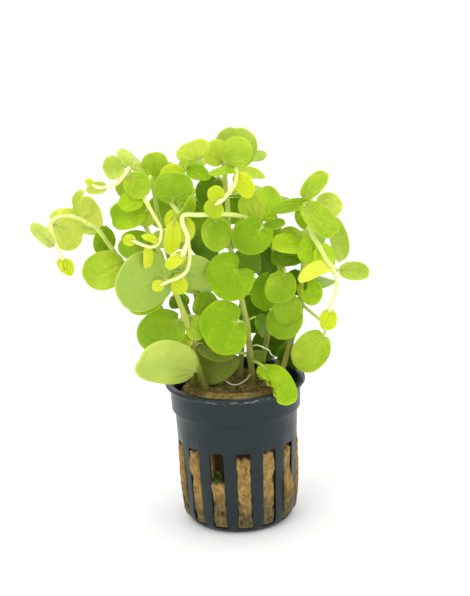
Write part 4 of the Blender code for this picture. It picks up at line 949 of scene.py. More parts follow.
@dataclass
class GrownLeaf:
    """One leaf in full detail: a thin veined blade and its petiole.

    thick: thickness of the blade's middle.
    groove and ridge: depth of the main veins above and their height below.
    quilt: how far the blade rises between two main veins.
    arch: how far the rays bend toward the tip, in radians.
    """

    leaf: Leaf
    route: Route
    stem: Stem
    fused: bool
    seed: float
    thick: float = 0.42
    groove: float = 0.05
    ridge: float = 0.10
    quilt: float = 0.20
    arch: float = 0.22
    round_edge: float = 0.06

    def __post_init__(self) -> None:
        """Work out where the leaf stands and how far its blade turns round the petiole."""
        leaf = self.leaf
        along = direction(leaf.lean, leaf.toward)
        right, up = (math.radians(angle) for angle in leaf.look)
        face = np.array((math.sin(right) * math.cos(up), -math.cos(right) * math.cos(up),
                         math.sin(up)))
        face = face - along * (face @ along)
        face /= np.linalg.norm(face)
        self.turn = np.column_stack((np.cross(along, face), along, face))
        self.node, stem_way = self.route.at(leaf.at)
        self.stem_radius = self.stem.radius(leaf.at)
        self.sessile = self.fused and not leaf.stalk
        slope = abs(float(along @ stem_way))
        clear = (self.stem_radius + STEM_GAP + SOLID_PETIOLE * slope) / math.sqrt(1 - slope ** 2)
        free = max(self.stem_radius + STEM_GAP + STALK_REACH, clear + SHORTEST_STALK)
        stalk = along * (0.0 if self.sessile else free)
        self.foot = self.node + (np.array(leaf.stalk, float) if leaf.stalk else stalk)
        if self.sessile:
            self.reach = math.radians(SESSILE_REACH)
        elif leaf.lobe < WEDGE_LOBE:
            self.reach = math.radians(WEDGE_REACH)
        else:
            self.reach = math.radians(ROUND_REACH if leaf.lobe < ROUND_LOBE else LOBED_REACH)
        self.squeeze = leaf.width / (leaf.length * (1 + leaf.lobe))

    def margin(self, angle: np.ndarray) -> np.ndarray:
        """Distance from the petiole to the margin.

        Args:
            angle: angles from the midrib, in radians.

        Returns:
            The distance at each angle.
        """
        leaf = self.leaf
        back = leaf.lobe * leaf.length
        radius, centre = (leaf.length + back) / 2, (leaf.length - back) / 2
        # A circle seen from the petiole, which stands inside it.
        far = centre * np.cos(angle) + np.sqrt(np.maximum(
            radius ** 2 - (centre * np.sin(angle)) ** 2, 0.0))
        end = ease(self.reach - 0.5, self.reach, np.abs(angle))
        # It draws in beside the petiole, is uneven, and has a shallow notch at its tip.
        base = LOBED_BASE if leaf.lobe > ROUND_LOBE else ROUND_BASE
        far = far * (1 - base * end ** 2)
        far *= 1 + 0.024 * np.sin(2 * angle + self.seed) + 0.016 * np.sin(3 * angle + 2.6 * self.seed)
        far *= 1 + 0.008 * np.sin(7 * angle + 2 * self.seed)
        far *= 1 - TIP_NOTCH * (1 + math.sin(5 * self.seed)) * np.exp(-(angle / TIP_NOTCH_WIDTH) ** 2)
        far *= 1 - VEIN_SCALLOP * np.sin(math.pi * angle / VEIN_PITCH) ** 4
        return far

    def torn_share(self, y: np.ndarray) -> np.ndarray:
        """What is left of the torn side's width.

        Args:
            y: distances along the midrib.

        Returns:
            A share up to 1 for each.
        """
        leaf = self.leaf
        angle = np.linspace(self.reach, 0.0, 90)
        far = self.margin(angle)
        whole = np.interp(y, far * np.cos(angle), far * np.sin(angle)) * self.squeeze
        away = y / leaf.length - TEAR_MIDDLE
        away = away / np.where(away > 0, TEAR_TAIL, TEAR_SPREAD)
        left = leaf.torn * (1 - TEAR_DEPTH * np.exp(-away ** 2))
        for tooth, rate, shift in TEAR_TEETH:
            left = left + tooth * np.sin(rate * y + shift)
        return np.clip(left / np.maximum(whole, 0.3), 0.05, 1.0)

    def flat(self, angle: np.ndarray, ring: np.ndarray) -> tuple:
        """Places in the blade before it is bent.

        Args:
            angle: angle from the midrib of each ray, in radians.
            ring: share of the way to the margin.

        Returns:
            Distances across and along.
        """
        leaf = self.leaf
        distance = ring * self.margin(angle)
        way = angle + self.arch * np.sin(angle) * (1 - ring)
        x = distance * np.sin(way) * self.squeeze
        y = distance * np.cos(way)
        x *= 1 - leaf.sharp * np.clip(y / leaf.length, 0, None) ** 3
        if leaf.torn:
            x = np.where(x > 0, x * self.torn_share(y), x)
        return x, y

    def surface(self, angle: np.ndarray, ring: np.ndarray) -> np.ndarray:
        """Middle of the blade, bent and waved.

        Args:
            angle: angle from the midrib of each ray, in radians.
            ring: share of the way to the margin.

        Returns:
            Places in the blade's own axes: across, along and out of its face.
        """
        leaf = self.leaf
        x, y = self.flat(angle, ring)
        cup = math.radians(leaf.cup) / (leaf.width / 2)
        curl = math.radians(leaf.curl) / leaf.length
        wave = (WAVE_HEIGHT * np.sin(WAVE_TURNS * np.arctan2(x, y + MARGIN_START) + leaf.lean)
                * np.hypot(x, y) / leaf.length)
        ripple = (RIPPLE_HEIGHT * np.sin(RIPPLE_TURNS * angle + self.seed) * ring ** 4
                  * min(1.0, leaf.length / FULL_RIPPLE_LENGTH))
        number = angle / VEIN_PITCH
        swell = self.quilt * np.sin(math.pi * number) ** 2 * np.sin(math.pi * ring) ** 0.8
        height = ((1 - np.cos(cup * x)) / cup + (1 - np.cos(curl * y)) / curl
                  + wave + ripple + swell)
        return np.stack((np.sin(cup * x) / cup, np.sin(curl * y) / curl, height), axis=-1)

    def blade(self, blank: LeafBlank, materials: Sequence[bpy.types.Material]) -> bpy.types.Object:
        """Fan the blank out into the blade.

        Args:
            blank: the two-sided grid.
            materials: the upper side's and the underside's.

        Returns:
            The blade as a closed mesh object.
        """
        share = np.linspace(-1.0, 1.0, blank.rays + 1)
        ring = 1 - (1 - np.linspace(0.0, 1.0, blank.rings + 1)) ** RING_POWER
        angle, ring_grid = np.meshgrid(share * self.reach, ring)
        middle = self.surface(angle, ring_grid)
        normal = np.cross(np.gradient(middle, axis=1), np.gradient(middle, axis=0))
        normal[0] = normal[1]
        normal /= np.linalg.norm(normal, axis=-1, keepdims=True) + 1e-12
        # The blade's thickness runs out in a round edge on all of its sides.
        edge = np.sqrt(np.clip(1 - ((ring_grid - 1 + self.round_edge) / self.round_edge).clip(0) ** 2,
                               0, 1))
        side = SIDE_EDGE_STEPS * 2 / blank.rays
        edge *= np.sqrt(np.clip(1 - ((np.abs(angle) / self.reach - 1 + side) / side).clip(0) ** 2,
                                0, 1))
        edge *= np.clip(ring_grid / FOOT_EDGE, 0, 1)
        turn, distance = angle, ring_grid * self.margin(angle)
        if self.leaf.torn:
            x, y = self.flat(angle, ring_grid)
            turn, distance = np.arctan2(x / self.squeeze, y), np.hypot(x / self.squeeze, y)
        # The main veins are grooves above and ridges below.
        beside = np.abs((turn / VEIN_PITCH + 0.5) % 1.0 - 0.5) * VEIN_PITCH * distance
        vein = np.exp(-(beside / VEIN_WIDTH) ** 2) * (1 - 0.75 * ring_grid)
        vein = vein * np.clip(distance / 1.5, 0, 1)
        half = self.thick / 2 * (1 - 0.3 * ring_grid)
        above = (half - self.groove * vein) * edge
        below = (half + self.ridge * vein) * edge
        top = middle + normal * above[..., None]
        bottom = middle - normal * below[..., None]
        sheets = np.where(blank.upper[:, None], top[blank.row, blank.column],
                          bottom[blank.row, blank.column])
        mesh = blank.mesh.copy()
        write_points(mesh, (self.foot + sheets @ self.turn.T) * MM)
        chart = np.stack((turn / VEIN_PITCH / VEIN_TURNS + 0.5, distance / VEIN_MAP), axis=-1)
        layer = mesh.uv_layers[0] if mesh.uv_layers else mesh.uv_layers.new()
        layer.name = "veins"
        flat = chart[blank.row, blank.column][blank.corners]
        layer.data.foreach_set("uv", np.ascontiguousarray(flat, np.float32).ravel())
        write_values(mesh, "rim", ring_grid[blank.row, blank.column])
        # The leaf's shade holds painted light and shade as well as its own tone; a small random step is
        # added.
        write_values(mesh, "shade", np.full(len(mesh.vertices), self.leaf.shade
                                            + 0.25 * math.sin(7.3 * self.seed)))
        merged(mesh)
        for material in materials:
            mesh.materials.append(material)
        mesh.shade_smooth()
        return placed(self.leaf.name + "_blade", mesh)

    def petiole(self, radius: float, sides: int, material: bpy.types.Material) -> bpy.types.Object:
        """Draw the petiole and the midrib that it runs into.

        Args:
            radius: its radius at the blade's foot.
            sides: number of its sides.
            material: its skin.

        Returns:
            The petiole as a mesh object.
        """
        back = -self.turn[:, 1]
        line = []
        reach = float(np.linalg.norm(self.foot - self.node))
        if not self.sessile:
            way = (self.foot - self.node) / reach
            start = self.node + way * self.stem_radius * 0.5
            span = float(np.linalg.norm(self.foot - start))
            handles = (start, start + way * span * 0.33, self.foot + back * span * 0.45, self.foot)
            for t in np.linspace(0, 1, max(4, int(span / STALK_STEP)) + 1)[:-1]:
                weights = ((1 - t) ** 3, 3 * t * (1 - t) ** 2, 3 * t * t * (1 - t), t ** 3)
                line.append(sum(w * h for w, h in zip(weights, handles)))
        stalk_count = len(line)
        shares = np.linspace(0.0, RIB_END, RIB_POINTS)
        rib = self.surface(np.zeros(len(shares)), shares)
        rib[:, 2] -= self.thick * 0.45
        line.extend(self.foot + rib @ self.turn.T)
        line = np.array(line)
        radii = np.full(len(line), radius)
        radii[stalk_count:] = radius * (0.8 - 0.68 * np.linspace(0, 1, len(shares)) ** 0.6)
        if stalk_count:
            radii[:stalk_count] *= np.linspace(FOOT_SWELL, 1.0, stalk_count)
        return tube(self.leaf.name + "_petiole", line, radii, sides, material)


@dataclass
class Foliage:
    """All leaves and stems, with the finishes that they share.

    large and small: rays and rings of the two blanks.
    slim: share of its radius that a smooth stem keeps between its nodes.
    tip_taper: shares of the radius at the last points of a stem.
    large_seed and small_seed: steps between the leaves' seeds.
    """

    large: tuple = (72, 18)
    small: tuple = (36, 10)
    petiole_radius: float = 0.52
    small_petiole_radius: float = 0.36
    stem_sides: int = 12
    node_swell: float = 0.168
    node_reach: float = 1.3
    slim: float = 0.86
    tip_taper: tuple = (0.92, 0.75, 0.4)
    large_seed: float = 1.7
    small_seed: float = 2.3
    first_small_seed: float = 0.9

    def __post_init__(self) -> None:
        """Model the blanks and mix the finishes."""
        self.blanks = {True: LeafBlank(*self.small), False: LeafBlank(*self.large)}
        self.sides = {tone: [finish.material(face) for face in LEAF_SIDES]
                      for tone, finish in LEAF_FINISHES.items()}
        self.stem_skin = STEM_FINISH.material()
        self.back_stem_skin = BACK_STEM_FINISH.material()
        self.petiole_skin = PETIOLE_FINISH.material()
        self.root_skin = ROOT_FINISH.material()
        self.stems = {stem.name: stem for stem in STEMS}
        self.routes = {stem.name: Route(stem.route) for stem in STEMS}

    def grow(self, leaf: Leaf, fused: bool, seed: float) -> bpy.types.Object:
        """Make one leaf.

        Args:
            leaf: the leaf.
            fused: whether it is one piece with its stem.
            seed: what makes it differ from the others.

        Returns:
            Its blade and petiole, joined.
        """
        grown = GrownLeaf(leaf, self.routes[leaf.stem], self.stems[leaf.stem], fused, seed)
        blade = grown.blade(self.blanks[fused], self.sides[leaf.tone])
        radius = self.small_petiole_radius if fused else self.petiole_radius
        petiole = grown.petiole(radius, 6 if fused else 8, self.petiole_skin)
        return joined(leaf.name + "_grown", (blade, petiole))

    def large_leaves(self) -> None:
        """Replace each large leaf's solid by the leaf in full detail."""
        for i, leaf in enumerate(LARGE_LEAVES):
            piece = self.grow(leaf, False, self.large_seed * i)
            hand_over(piece, LEAF_FINISHES[leaf.tone].slot, leaf.name)

    def stem(self, stem: Stem, leaves: Sequence[Leaf]) -> None:
        """Replace a stem's solid by the stem with its small leaves and its roots.

        Args:
            stem: the stem.
            leaves: all small leaves.
        """
        fine = Route(stem.route, 0.7)
        radii = stem.radius(fine.shares)
        nodes = sorted({leaf.at for leaf in (*LARGE_LEAVES, *leaves) if leaf.stem == stem.name})
        for at in nodes:
            away = (fine.shares - at) * fine.length / self.node_reach
            radii *= 1 + self.node_swell * np.exp(-away ** 2)
        radii *= self.slim
        radii[-3:] *= self.tip_taper
        skin = self.back_stem_skin if stem.name.startswith("stem_back") else self.stem_skin
        pieces = [tube(stem.name + "_tube", fine.points, radii, self.stem_sides, skin)]
        if stem.name == ROOTED_STEM:
            # This stem stays green for longer than the others.
            for item in pieces[0].data.attributes["along"].data:
                late = max(0.0, item.value - GREEN_FROM) / (1 - GREEN_FROM)
                item.value = min(item.value, GREEN_FROM) + (1 - GREEN_FROM) * late ** GREEN_POWER
        for i, leaf in enumerate(leaves):
            if leaf.stem == stem.name:
                pieces.append(self.grow(leaf, True, self.first_small_seed + self.small_seed * i))
        if stem.name == ROOTED_STEM:
            for i, route in enumerate(ROOTS):
                line = Route(route, 0.5)
                radii = ROOT_RADIUS * (1 - ROOT_TAPER * line.shares)
                pieces.append(tube(f"root_{i}", line.points, radii, 8, self.root_skin))
        hand_over(joined(stem.name + "_grown", pieces), "stem", stem.name)

    def build(self) -> None:
        """Make all stems and leaves."""
        leaves = (*SMALL_LEAVES, *paired_leaves())
        for stem in STEMS:
            self.stem(stem, leaves)
        self.large_leaves()
        for blank in self.blanks.values():
            bpy.data.meshes.remove(blank.mesh)


def paired_leaves() -> list:
    """The leaves of every opposite pair on the stems behind.

    Returns:
        Two leaves for each pair.
    """
    leaves = []
    for i, (stem, at, heading, length, width) in enumerate(LEAF_PAIRS):
        for name, way in (("a", heading), ("b", heading + 180)):
            turn, rise = math.radians(way), math.radians(PAIR_RISE)
            x, y = math.cos(turn) * math.cos(rise), math.sin(turn) * math.cos(rise)
            lean = math.degrees(math.atan2(x, math.sin(rise)))
            toward = math.degrees(math.asin(-y))
            leaves.append(Leaf(f"pair_{i}_{name}", at, lean, toward, length, width, look=PAIR_LOOK,
                               stem=stem))
    return leaves


def hand_over(piece: bpy.types.Object, slot: str, *nodes: str) -> None:
    """Let a piece ride on the part in place of its solids.

    Args:
        piece: the finished piece.
        slot: the record's material slot that it belongs to; not used.
        nodes: the solids that it replaces.
    """
    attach(piece, BODY)
    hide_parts(*nodes)
    LOG.info("%s: %d faces", piece.name, len(piece.data.polygons))


# Pot

WALL = 0.9
COLLAR_FOOT = 41.8
BODY_TOP_RADIUS = 21.9
BODY_FOOT_RADIUS = 20.4
CORNER_TOP = 7.0
FOOT_RADIUS = 16.6
FLOOR_THICK = 1.2
FLOOR_EDGE = 15.0
SLOT_COUNT = 14
SLOT_WIDTH = 5.1
SLOT_LOW = 2.0
SLOT_HIGH = 31.0
FIRST_SLOT = math.radians(4.6)
SLOT_PITCH = math.tau / SLOT_COUNT
SLOT_LOW_TURN = 44.415          # degrees up the outer corner at which the slots begin

# Radius and height of the rings from the collar's foot over the lip and down inside.
COLLAR_RINGS = (
    (22.0, 41.55), (22.35, 41.75), (22.75, 41.85), (22.97, 42.1), (23.02, 42.6), (23.12, 45.5),
    (23.22, 48.5), (23.3, 50.0), (23.5, 50.45), (24.2, 50.62), (24.75, 50.75), (24.97, 51.05),
    (25.0, 51.4), (24.93, 51.75), (24.65, 52.0), (23.3, 52.0), (22.75, 51.93), (22.45, 51.6),
    (22.38, 50.8), (22.12, 43.2), (21.95, 42.4), (21.35, 41.9), (21.02, 41.4), (20.96, 40.6),
)


def wall_radius(height: np.ndarray) -> np.ndarray:
    """The pot's outer radius between its foot and the collar.

    Args:
        height: heights above the foot.

    Returns:
        The radius at each height.
    """
    drop = np.clip((CORNER_TOP - height) / CORNER_TOP, 0, 1)
    corner = FOOT_RADIUS + (BODY_FOOT_RADIUS - FOOT_RADIUS) * np.sqrt(1 - drop ** 2)
    share = np.clip((height - CORNER_TOP) / (COLLAR_FOOT - CORNER_TOP), 0, 1)
    return np.where(height < CORNER_TOP, corner,
                    BODY_FOOT_RADIUS + (BODY_TOP_RADIUS - BODY_FOOT_RADIUS) * share)


@dataclass(frozen=True)
class PlasticFinish:
    """Satin charcoal plastic with mould grain and a few scuffs."""

    dark: tuple = (0.045, 0.112, 0.122)
    light: tuple = (0.082, 0.148, 0.160)
    scuff: tuple = (0.62, 0.64, 0.66)

    def material(self) -> bpy.types.Material:
        """Make the material.

        Returns:
            The material.
        """
        sheet = Palette("pot_plastic")
        colour = sheet.steps(sheet.grain(90.0, 4.0, 0.6), ((0.3, self.dark), (0.7, self.light)))
        axes = sheet.axes(sheet.place)
        rim = sheet.scaled(sheet.fade(axes[2], 0.0486, 0.0505), sheet.fade(axes[1], -0.0205, -0.0235))
        rim = sheet.scaled(rim, sheet.fade(axes[2], 0.0520, 0.0512))
        rub = sheet.fade(sheet.grain(900.0, 5.0, 0.75, sheet.stretched((0.35, 1.0, 1.6))), 0.52, 0.68)
        dust = sheet.scaled(sheet.fade(sheet.grain(3200.0, 3.0, 0.7), 0.66, 0.78), 0.35)
        worn = sheet.math("MAXIMUM", sheet.scaled(sheet.scaled(rub, rim), 0.85), dust)
        colour = sheet.blend(worn, colour, linear(self.scuff))
        rough = sheet.scaled(worn, 0.3, sheet.scaled(sheet.grain(400.0, 3.0), 0.18, 0.30))
        height = sheet.scaled(sheet.grain(5200.0), 0.5, sheet.grain(260.0, 2.0))
        sheet.relief(height, 0.08, 0.35)
        return sheet.finish(colour, rough, Specular_IOR_Level=0.26, Coat_Weight=0.16,
                            Coat_Roughness=0.14)


@dataclass
class NetPot:
    """The moulded net pot: a turned wall with a collar, a lip, a foot and slots."""

    rib_columns: int = 6
    slot_steps: tuple = (-2.35, -1.9, -0.95, 0.0, 0.95, 1.9, 2.35)
    corner: float = 0.8
    edge_width: float = 0.09

    @property
    def per_slot(self) -> int:
        """Number of columns in one slot and the rib beside it."""
        return len(self.slot_steps) + 2 + self.rib_columns

    def profile(self) -> list:
        """Radius and height of each ring, from the foot outside up and down inside.

        Returns:
            The rings' radii and heights.
        """
        levels = (7.0, 13.0, 20.0, 26.0, 31.0, 36.0)
        outer_turns = (12, 24, 35, SLOT_LOW_TURN, 54, 64, 76)
        rings = [(8.0, 0.0), (15.6, 0.0), (16.3, 0.05), (16.75, 0.25)]
        rings += [self.corner_ring(0.0, 0.0, degrees) for degrees in outer_turns]
        rings += [self.wall_ring(0.0, height) for height in (*levels, 41.2)]
        rings += COLLAR_RINGS
        rings += [self.wall_ring(WALL, height) for height in reversed(levels)]
        rings += [self.corner_ring(WALL, FLOOR_THICK, degrees) for degrees in (74, 60, 46, 30.5)]
        rings += [(16.6, 1.4), (15.4, FLOOR_THICK), (8.0, FLOOR_THICK)]
        return rings

    @staticmethod
    def wall_ring(inset: float, height: float) -> tuple:
        """A ring at a height, inside the outer wall by an inset."""
        return float(wall_radius(np.array(height))) - inset, height

    @staticmethod
    def corner_ring(inset: float, low: float, degrees: float) -> tuple:
        """A ring on the quarter ellipse from the foot, at 0 degrees, to the wall."""
        turn = math.radians(degrees)
        foot, top = FOOT_RADIUS - inset, BODY_FOOT_RADIUS - inset
        return foot + (top - foot) * math.sin(turn), CORNER_TOP - (CORNER_TOP - low) * math.cos(turn)

    def column_angle(self, column: np.ndarray, radius: np.ndarray) -> np.ndarray:
        """Where a column of the wall stands, so that the slots' sides stay parallel.

        Args:
            column: number of the column within its slot and rib.
            radius: radius of the ring.

        Returns:
            The angle from the slot's middle.
        """
        steps = (*self.slot_steps, SLOT_WIDTH / 2)
        side = np.arcsin(np.clip(SLOT_WIDTH / 2 / np.maximum(radius, 4.0), 0, 1))
        inside = np.array(steps)[np.minimum(column, len(steps) - 1)] / (SLOT_WIDTH / 2) * side
        share = (column - len(steps) + 1) / (self.rib_columns + 1)
        return np.where(column < len(steps), inside, side + share * (SLOT_PITCH - 2 * side))

    def build(self) -> None:
        """Turn the wall, cut the slots and break their edges."""
        columns = self.per_slot * SLOT_COUNT
        rings = self.profile()
        deselect()
        bpy.ops.mesh.primitive_circle_add(vertices=columns, radius=rings[0][0] * MM,
                                          fill_type="TRIFAN", location=(0, 0, 0))
        pot = bpy.context.object
        bpy.ops.object.mode_set(mode="EDIT")
        bpy.ops.mesh.select_all(action="SELECT")
        bpy.ops.mesh.flip_normals()
        bpy.ops.mesh.select_mode(type="EDGE")
        bpy.ops.mesh.select_all(action="DESELECT")
        bpy.ops.mesh.select_non_manifold(extend=False, use_boundary=True)
        # Each ring grows out of the one before, over the lip and back to the floor inside.
        for (r0, z0), (r1, z1) in zip(rings, rings[1:]):
            bpy.ops.mesh.extrude_edges_move(TRANSFORM_OT_translate={"value": (0, 0, (z1 - z0) * MM)})
            bpy.ops.transform.resize(value=(r1 / r0, r1 / r0, 1), center_override=(0, 0, z1 * MM))
        bpy.ops.mesh.edge_face_add()
        bpy.ops.mesh.poke()
        bpy.ops.object.mode_set(mode="OBJECT")
        self.set_columns(pot)
        self.cut_slots(pot)
        bevel = pot.modifiers.new("edges", "BEVEL")
        bevel.width = self.edge_width * MM
        bevel.segments = 2
        bevel.limit_method = "ANGLE"
        bevel.angle_limit = math.radians(50)
        bpy.ops.object.modifier_apply(modifier=bevel.name)
        bpy.ops.object.shade_smooth_by_angle(angle=math.radians(40))
        pot.name = "net_pot_moulded"
        pot.data.materials.append(PlasticFinish().material())
        hand_over(pot, "pot_plastic", "net_pot")

    def set_columns(self, pot: bpy.types.Object) -> None:
        """Move the columns so that slots and ribs have their widths and round corners.

        Args:
            pot: the turned wall.
        """
        columns = self.per_slot * SLOT_COUNT
        points = read_points(pot.data) / MM
        radius = np.hypot(points[:, 0], points[:, 1])
        turn = np.arctan2(points[:, 0], points[:, 1])
        column = np.rint(turn / math.tau * columns).astype(int) % columns
        within = column % self.per_slot
        angle = (FIRST_SLOT + (column // self.per_slot) * SLOT_PITCH
                 + self.column_angle(within, radius))
        angle = np.where(radius > 0.5, angle, turn)
        # The rows at both ends of the slots bend, so that the slots have round corners.
        half = SLOT_WIDTH / 2
        steps = np.array((*self.slot_steps, half, *([np.inf] * self.rib_columns), -half))
        away = np.abs(steps[within])
        beside = np.clip(away - (half - self.corner), 0, None)
        drop = self.corner - np.sqrt(np.clip(self.corner ** 2 - beside ** 2, 0, None))
        drop = np.where((away < 3) & (radius > FLOOR_EDGE), drop, 0.0)
        points[:, 2] -= np.where(np.abs(points[:, 2] - SLOT_HIGH) < 0.01, drop, 0.0)
        points[:, 2] += np.where(np.abs(points[:, 2] - SLOT_LOW) < 0.05, drop * 0.6, 0.0)
        write_points(pot.data, around(angle, radius, points[:, 2]) * MM)

    def cut_slots(self, pot: bpy.types.Object) -> None:
        """Open each slot through both sides of the wall and close its rim.

        Args:
            pot: the turned wall.
        """
        shell = bmesh.new()
        shell.from_mesh(pot.data)
        openings = []
        for face in shell.faces:
            centre = face.calc_center_median() / MM
            turn = math.atan2(centre.x, -centre.y) - FIRST_SLOT
            away = (turn + SLOT_PITCH / 2) % SLOT_PITCH - SLOT_PITCH / 2
            out = math.hypot(centre.x, centre.y)
            if (SLOT_LOW < centre.z < SLOT_HIGH and out > FLOOR_EDGE
                    and abs(math.sin(away)) * out < SLOT_WIDTH / 2):
                openings.append(face)
        bmesh.ops.delete(shell, geom=openings, context="FACES")
        shell.to_mesh(pot.data)
        shell.free()
        deselect()
        pot.select_set(True)
        bpy.context.view_layer.objects.active = pot
        for index in range(SLOT_COUNT):
            middle = FIRST_SLOT + index * SLOT_PITCH
            bpy.ops.object.mode_set(mode="EDIT")
            bpy.ops.mesh.select_mode(type="EDGE")
            bpy.ops.mesh.select_all(action="DESELECT")
            bpy.ops.object.mode_set(mode="OBJECT")
            rim = bmesh.new()
            rim.from_mesh(pot.data)
            for edge in rim.edges:
                centre = (edge.verts[0].co + edge.verts[1].co) / 2
                away = math.remainder(math.atan2(centre.x, -centre.y) - middle, math.tau)
                edge.select_set(edge.is_boundary and abs(away) < SLOT_PITCH / 2)
            rim.to_mesh(pot.data)
            rim.free()
            bpy.ops.object.mode_set(mode="EDIT")
            bpy.ops.mesh.bridge_edge_loops()
            bpy.ops.object.mode_set(mode="OBJECT")
        bpy.ops.object.mode_set(mode="EDIT")
        bpy.ops.mesh.select_all(action="SELECT")
        bpy.ops.mesh.normals_make_consistent(inside=False)
        bpy.ops.object.mode_set(mode="OBJECT")


# Wool plug


@dataclass(frozen=True)
class SlotWool:
    """How the wool fills one slot.

    top: height that it reaches.
    stand: how far it stands out of the wall.
    left and right: how far it stops short of the slot's sides.
    bulge: (height, half height, extra stand) of a lump.
    pits: (height, distance to the right, half width) of each hole, darkened with painted shade.
    """

    top: float
    stand: float
    left: float = -0.1
    right: float = -0.1
    bulge: tuple = (20.0, 5.0, 0.0)
    low: float = 2.4
    pits: tuple = ()

    def fill(self, number: int, across: np.ndarray, height: np.ndarray) -> tuple:
        """How the wool lies in the slot.

        Args:
            number: the slot's number, which makes its edges differ from the others'.
            across: distances from the slot's middle to the right.
            height: heights above the pot's foot.

        Returns:
            How far the wool fills the slot, from 0 to 1, and the radius of its face.
        """
        half = SLOT_WIDTH / 2
        ragged = 0.35 * np.sin(1.3 * height + 2.1 * number) + 0.2 * np.sin(3.1 * height + number)
        left = -half + self.left + 0.20 * np.sin(0.9 * height + number)
        right = half - self.right - 0.20 * np.sin(1.1 * height + 2 * number)
        inside = ease(-0.3, 0.25, across - left) * ease(-0.3, 0.25, right - across)
        top = self.top + 0.35 * np.sin(2.2 * across + number) + ragged * 0.3
        inside = inside * ease(0.0, 1.1, top - height) * ease(self.low - 0.6, self.low + 0.3, height)
        for level, offset, size in self.pits:
            hole = np.exp(-(((height - level) / 1.6) ** 2 + (across - offset) ** 2) / size ** 2)
            inside = inside * (1 - 0.75 * hole)
        middle, half_height, extra = self.bulge
        stand = self.stand + extra * np.exp(-((height - middle) / half_height) ** 2)
        return inside, wall_radius(height) + stand - 0.45 * (across / half) ** 2


# Counted from the front to the right.
SLOT_WOOL = (
    SlotWool(29.4, 0.15, bulge=(3.5, 2.0, 0.5), pits=((4.5, -1.5, 0.7), (12.0, -2.1, 0.5))),
    SlotWool(30.6, 0.05, right=0.3, bulge=(24.0, 3.0, 0.5), pits=((20.0, 2.1, 1.0), (8.5, 1.9, 0.7))),
    SlotWool(30.4, 0.1, left=0.1, right=1.3, bulge=(13.0, 7.0, 1.7), pits=((22.0, 1.8, 1.3),)),
    SlotWool(30.0, 0.4, bulge=(16.0, 8.0, 0.3), pits=((25.0, 1.9, 0.9),)),
    SlotWool(30.5, 0.0, bulge=(12.0, 4.0, 0.3)),
    SlotWool(28.0, 0.2, pits=((7.0, -1.2, 0.8),)),
    SlotWool(30.5, 0.0, left=0.6, bulge=(21.0, 5.0, 0.4)),
    SlotWool(29.0, 0.1, bulge=(9.0, 4.0, 0.3), pits=((23.0, 0.9, 0.7),)),
    SlotWool(30.5, 0.3, right=0.7),
    SlotWool(30.5, 0.0, bulge=(14.0, 5.0, 0.5), pits=((17.0, -1.9, 1.0),)),
    SlotWool(30.0, 0.2, left=0.5, bulge=(22.0, 4.0, 0.4)),
    SlotWool(30.5, 0.5, bulge=(17.0, 9.0, 0.5), pits=((6.0, 1.9, 0.9),)),
    SlotWool(30.4, 0.25, right=0.2, bulge=(24.0, 2.2, 0.9),
             pits=((28.6, 1.7, 1.1), (19.5, -2.2, 0.8), (5.5, -2.0, 1.0))),
    SlotWool(20.2, 0.1, right=0.0, bulge=(18.0, 2.4, 0.4), pits=((11.5, -2.2, 0.8), (8.0, 1.0, 0.5))),
)
OPEN_SLOT = 13            # the slot that the wool leaves half open

PLUG_LOW = 1.5
PLUG_TOP = 49.0
PLUG_TOP_RADIUS = 19.6
PLUG_SLACK = 1.4
SHOULDER = 1.2            # how far the wall draws in at the top
HOLLOW_DEPTH = 2.6        # depth of the hollow above the wool in the open slot
NARROWING = (40.0, 47.0)  # heights between which the plug narrows and turns damp
LUMP_PITCHES = (3.4, 1.3, 0.6)
DIP_DEPTH = 0.8           # the dip that each stem stands in
DIP_WIDTH = 2.2
MOUND_PITCH = 6.5
MOUND_SEED = 3.1
FRONT_HOLE = (-2.6, -17.0)
TOP_FIBRE_RADIUS = 0.055
SLOT_FIBRE_RADIUS = 0.06
MOSS_RADIUS = 0.09


@dataclass(frozen=True)
class WoolFinish:
    """Matt mineral wool: tan at the sides, olive-brown and damp on the top."""

    tan: tuple = (0.60, 0.48, 0.27)
    straw: tuple = (0.72, 0.61, 0.39)
    brown: tuple = (0.38, 0.29, 0.15)
    mud: tuple = (0.44, 0.39, 0.26)
    damp: tuple = (0.38, 0.32, 0.15)
    damp_dark: tuple = (0.15, 0.12, 0.06)
    moist: tuple = (0.66, 0.60, 0.36)

    def material(self, name: str, lift: float) -> bpy.types.Material:
        """Make the material.

        Args:
            name: the material's name.
            lift: how much lighter it is, from 0.

        Returns:
            The material.
        """
        sheet = Palette(name)
        streak = sheet.grain(1300.0, 5.0, 0.7, sheet.stretched((1.0, 1.0, 0.45)))
        coarse = sheet.grain(330.0, 4.0, 0.65)
        pits = sheet.fade(sheet.grain(1900.0, 3.0, 0.6), 0.60, 0.70)
        share = sheet.scaled(coarse, 0.6, sheet.scaled(streak, 0.4, lift))
        share = sheet.scaled(pits, -0.16, share)
        dry = sheet.steps(share, ((0.30, self.brown), (0.48, self.tan), (0.66, self.straw)))
        # Below about 16 mm the wool turns darker and greyer.
        low = sheet.math("ADD", sheet.axes(sheet.place)[2], sheet.drift(0.016, 120.0))
        lower_colours = sheet.steps(share, ((0.32, self.damp_dark), (0.50, self.mud), (0.70, self.tan)))
        dry = sheet.blend(sheet.fade(low, 0.016, 0.009), dry, lower_colours)
        wet = sheet.steps(share, ((0.36, self.damp_dark), (0.48, self.damp), (0.62, self.moist)))
        colour = sheet.blend(sheet.value("damp"), dry, wet)
        # Painted shade: the wool is darkened almost to black where it lies deep in the slots and in the
        # front hole.
        deep = sheet.scaled(sheet.value("deep"), 0.92)
        colour = sheet.blend(deep, colour, linear((0.06, 0.05, 0.03)))
        sheet.relief(sheet.scaled(pits, -0.8, sheet.scaled(streak, 0.7, coarse)), 0.4, 1.0)
        return sheet.finish(colour, 0.95, Specular_IOR_Level=0.15)


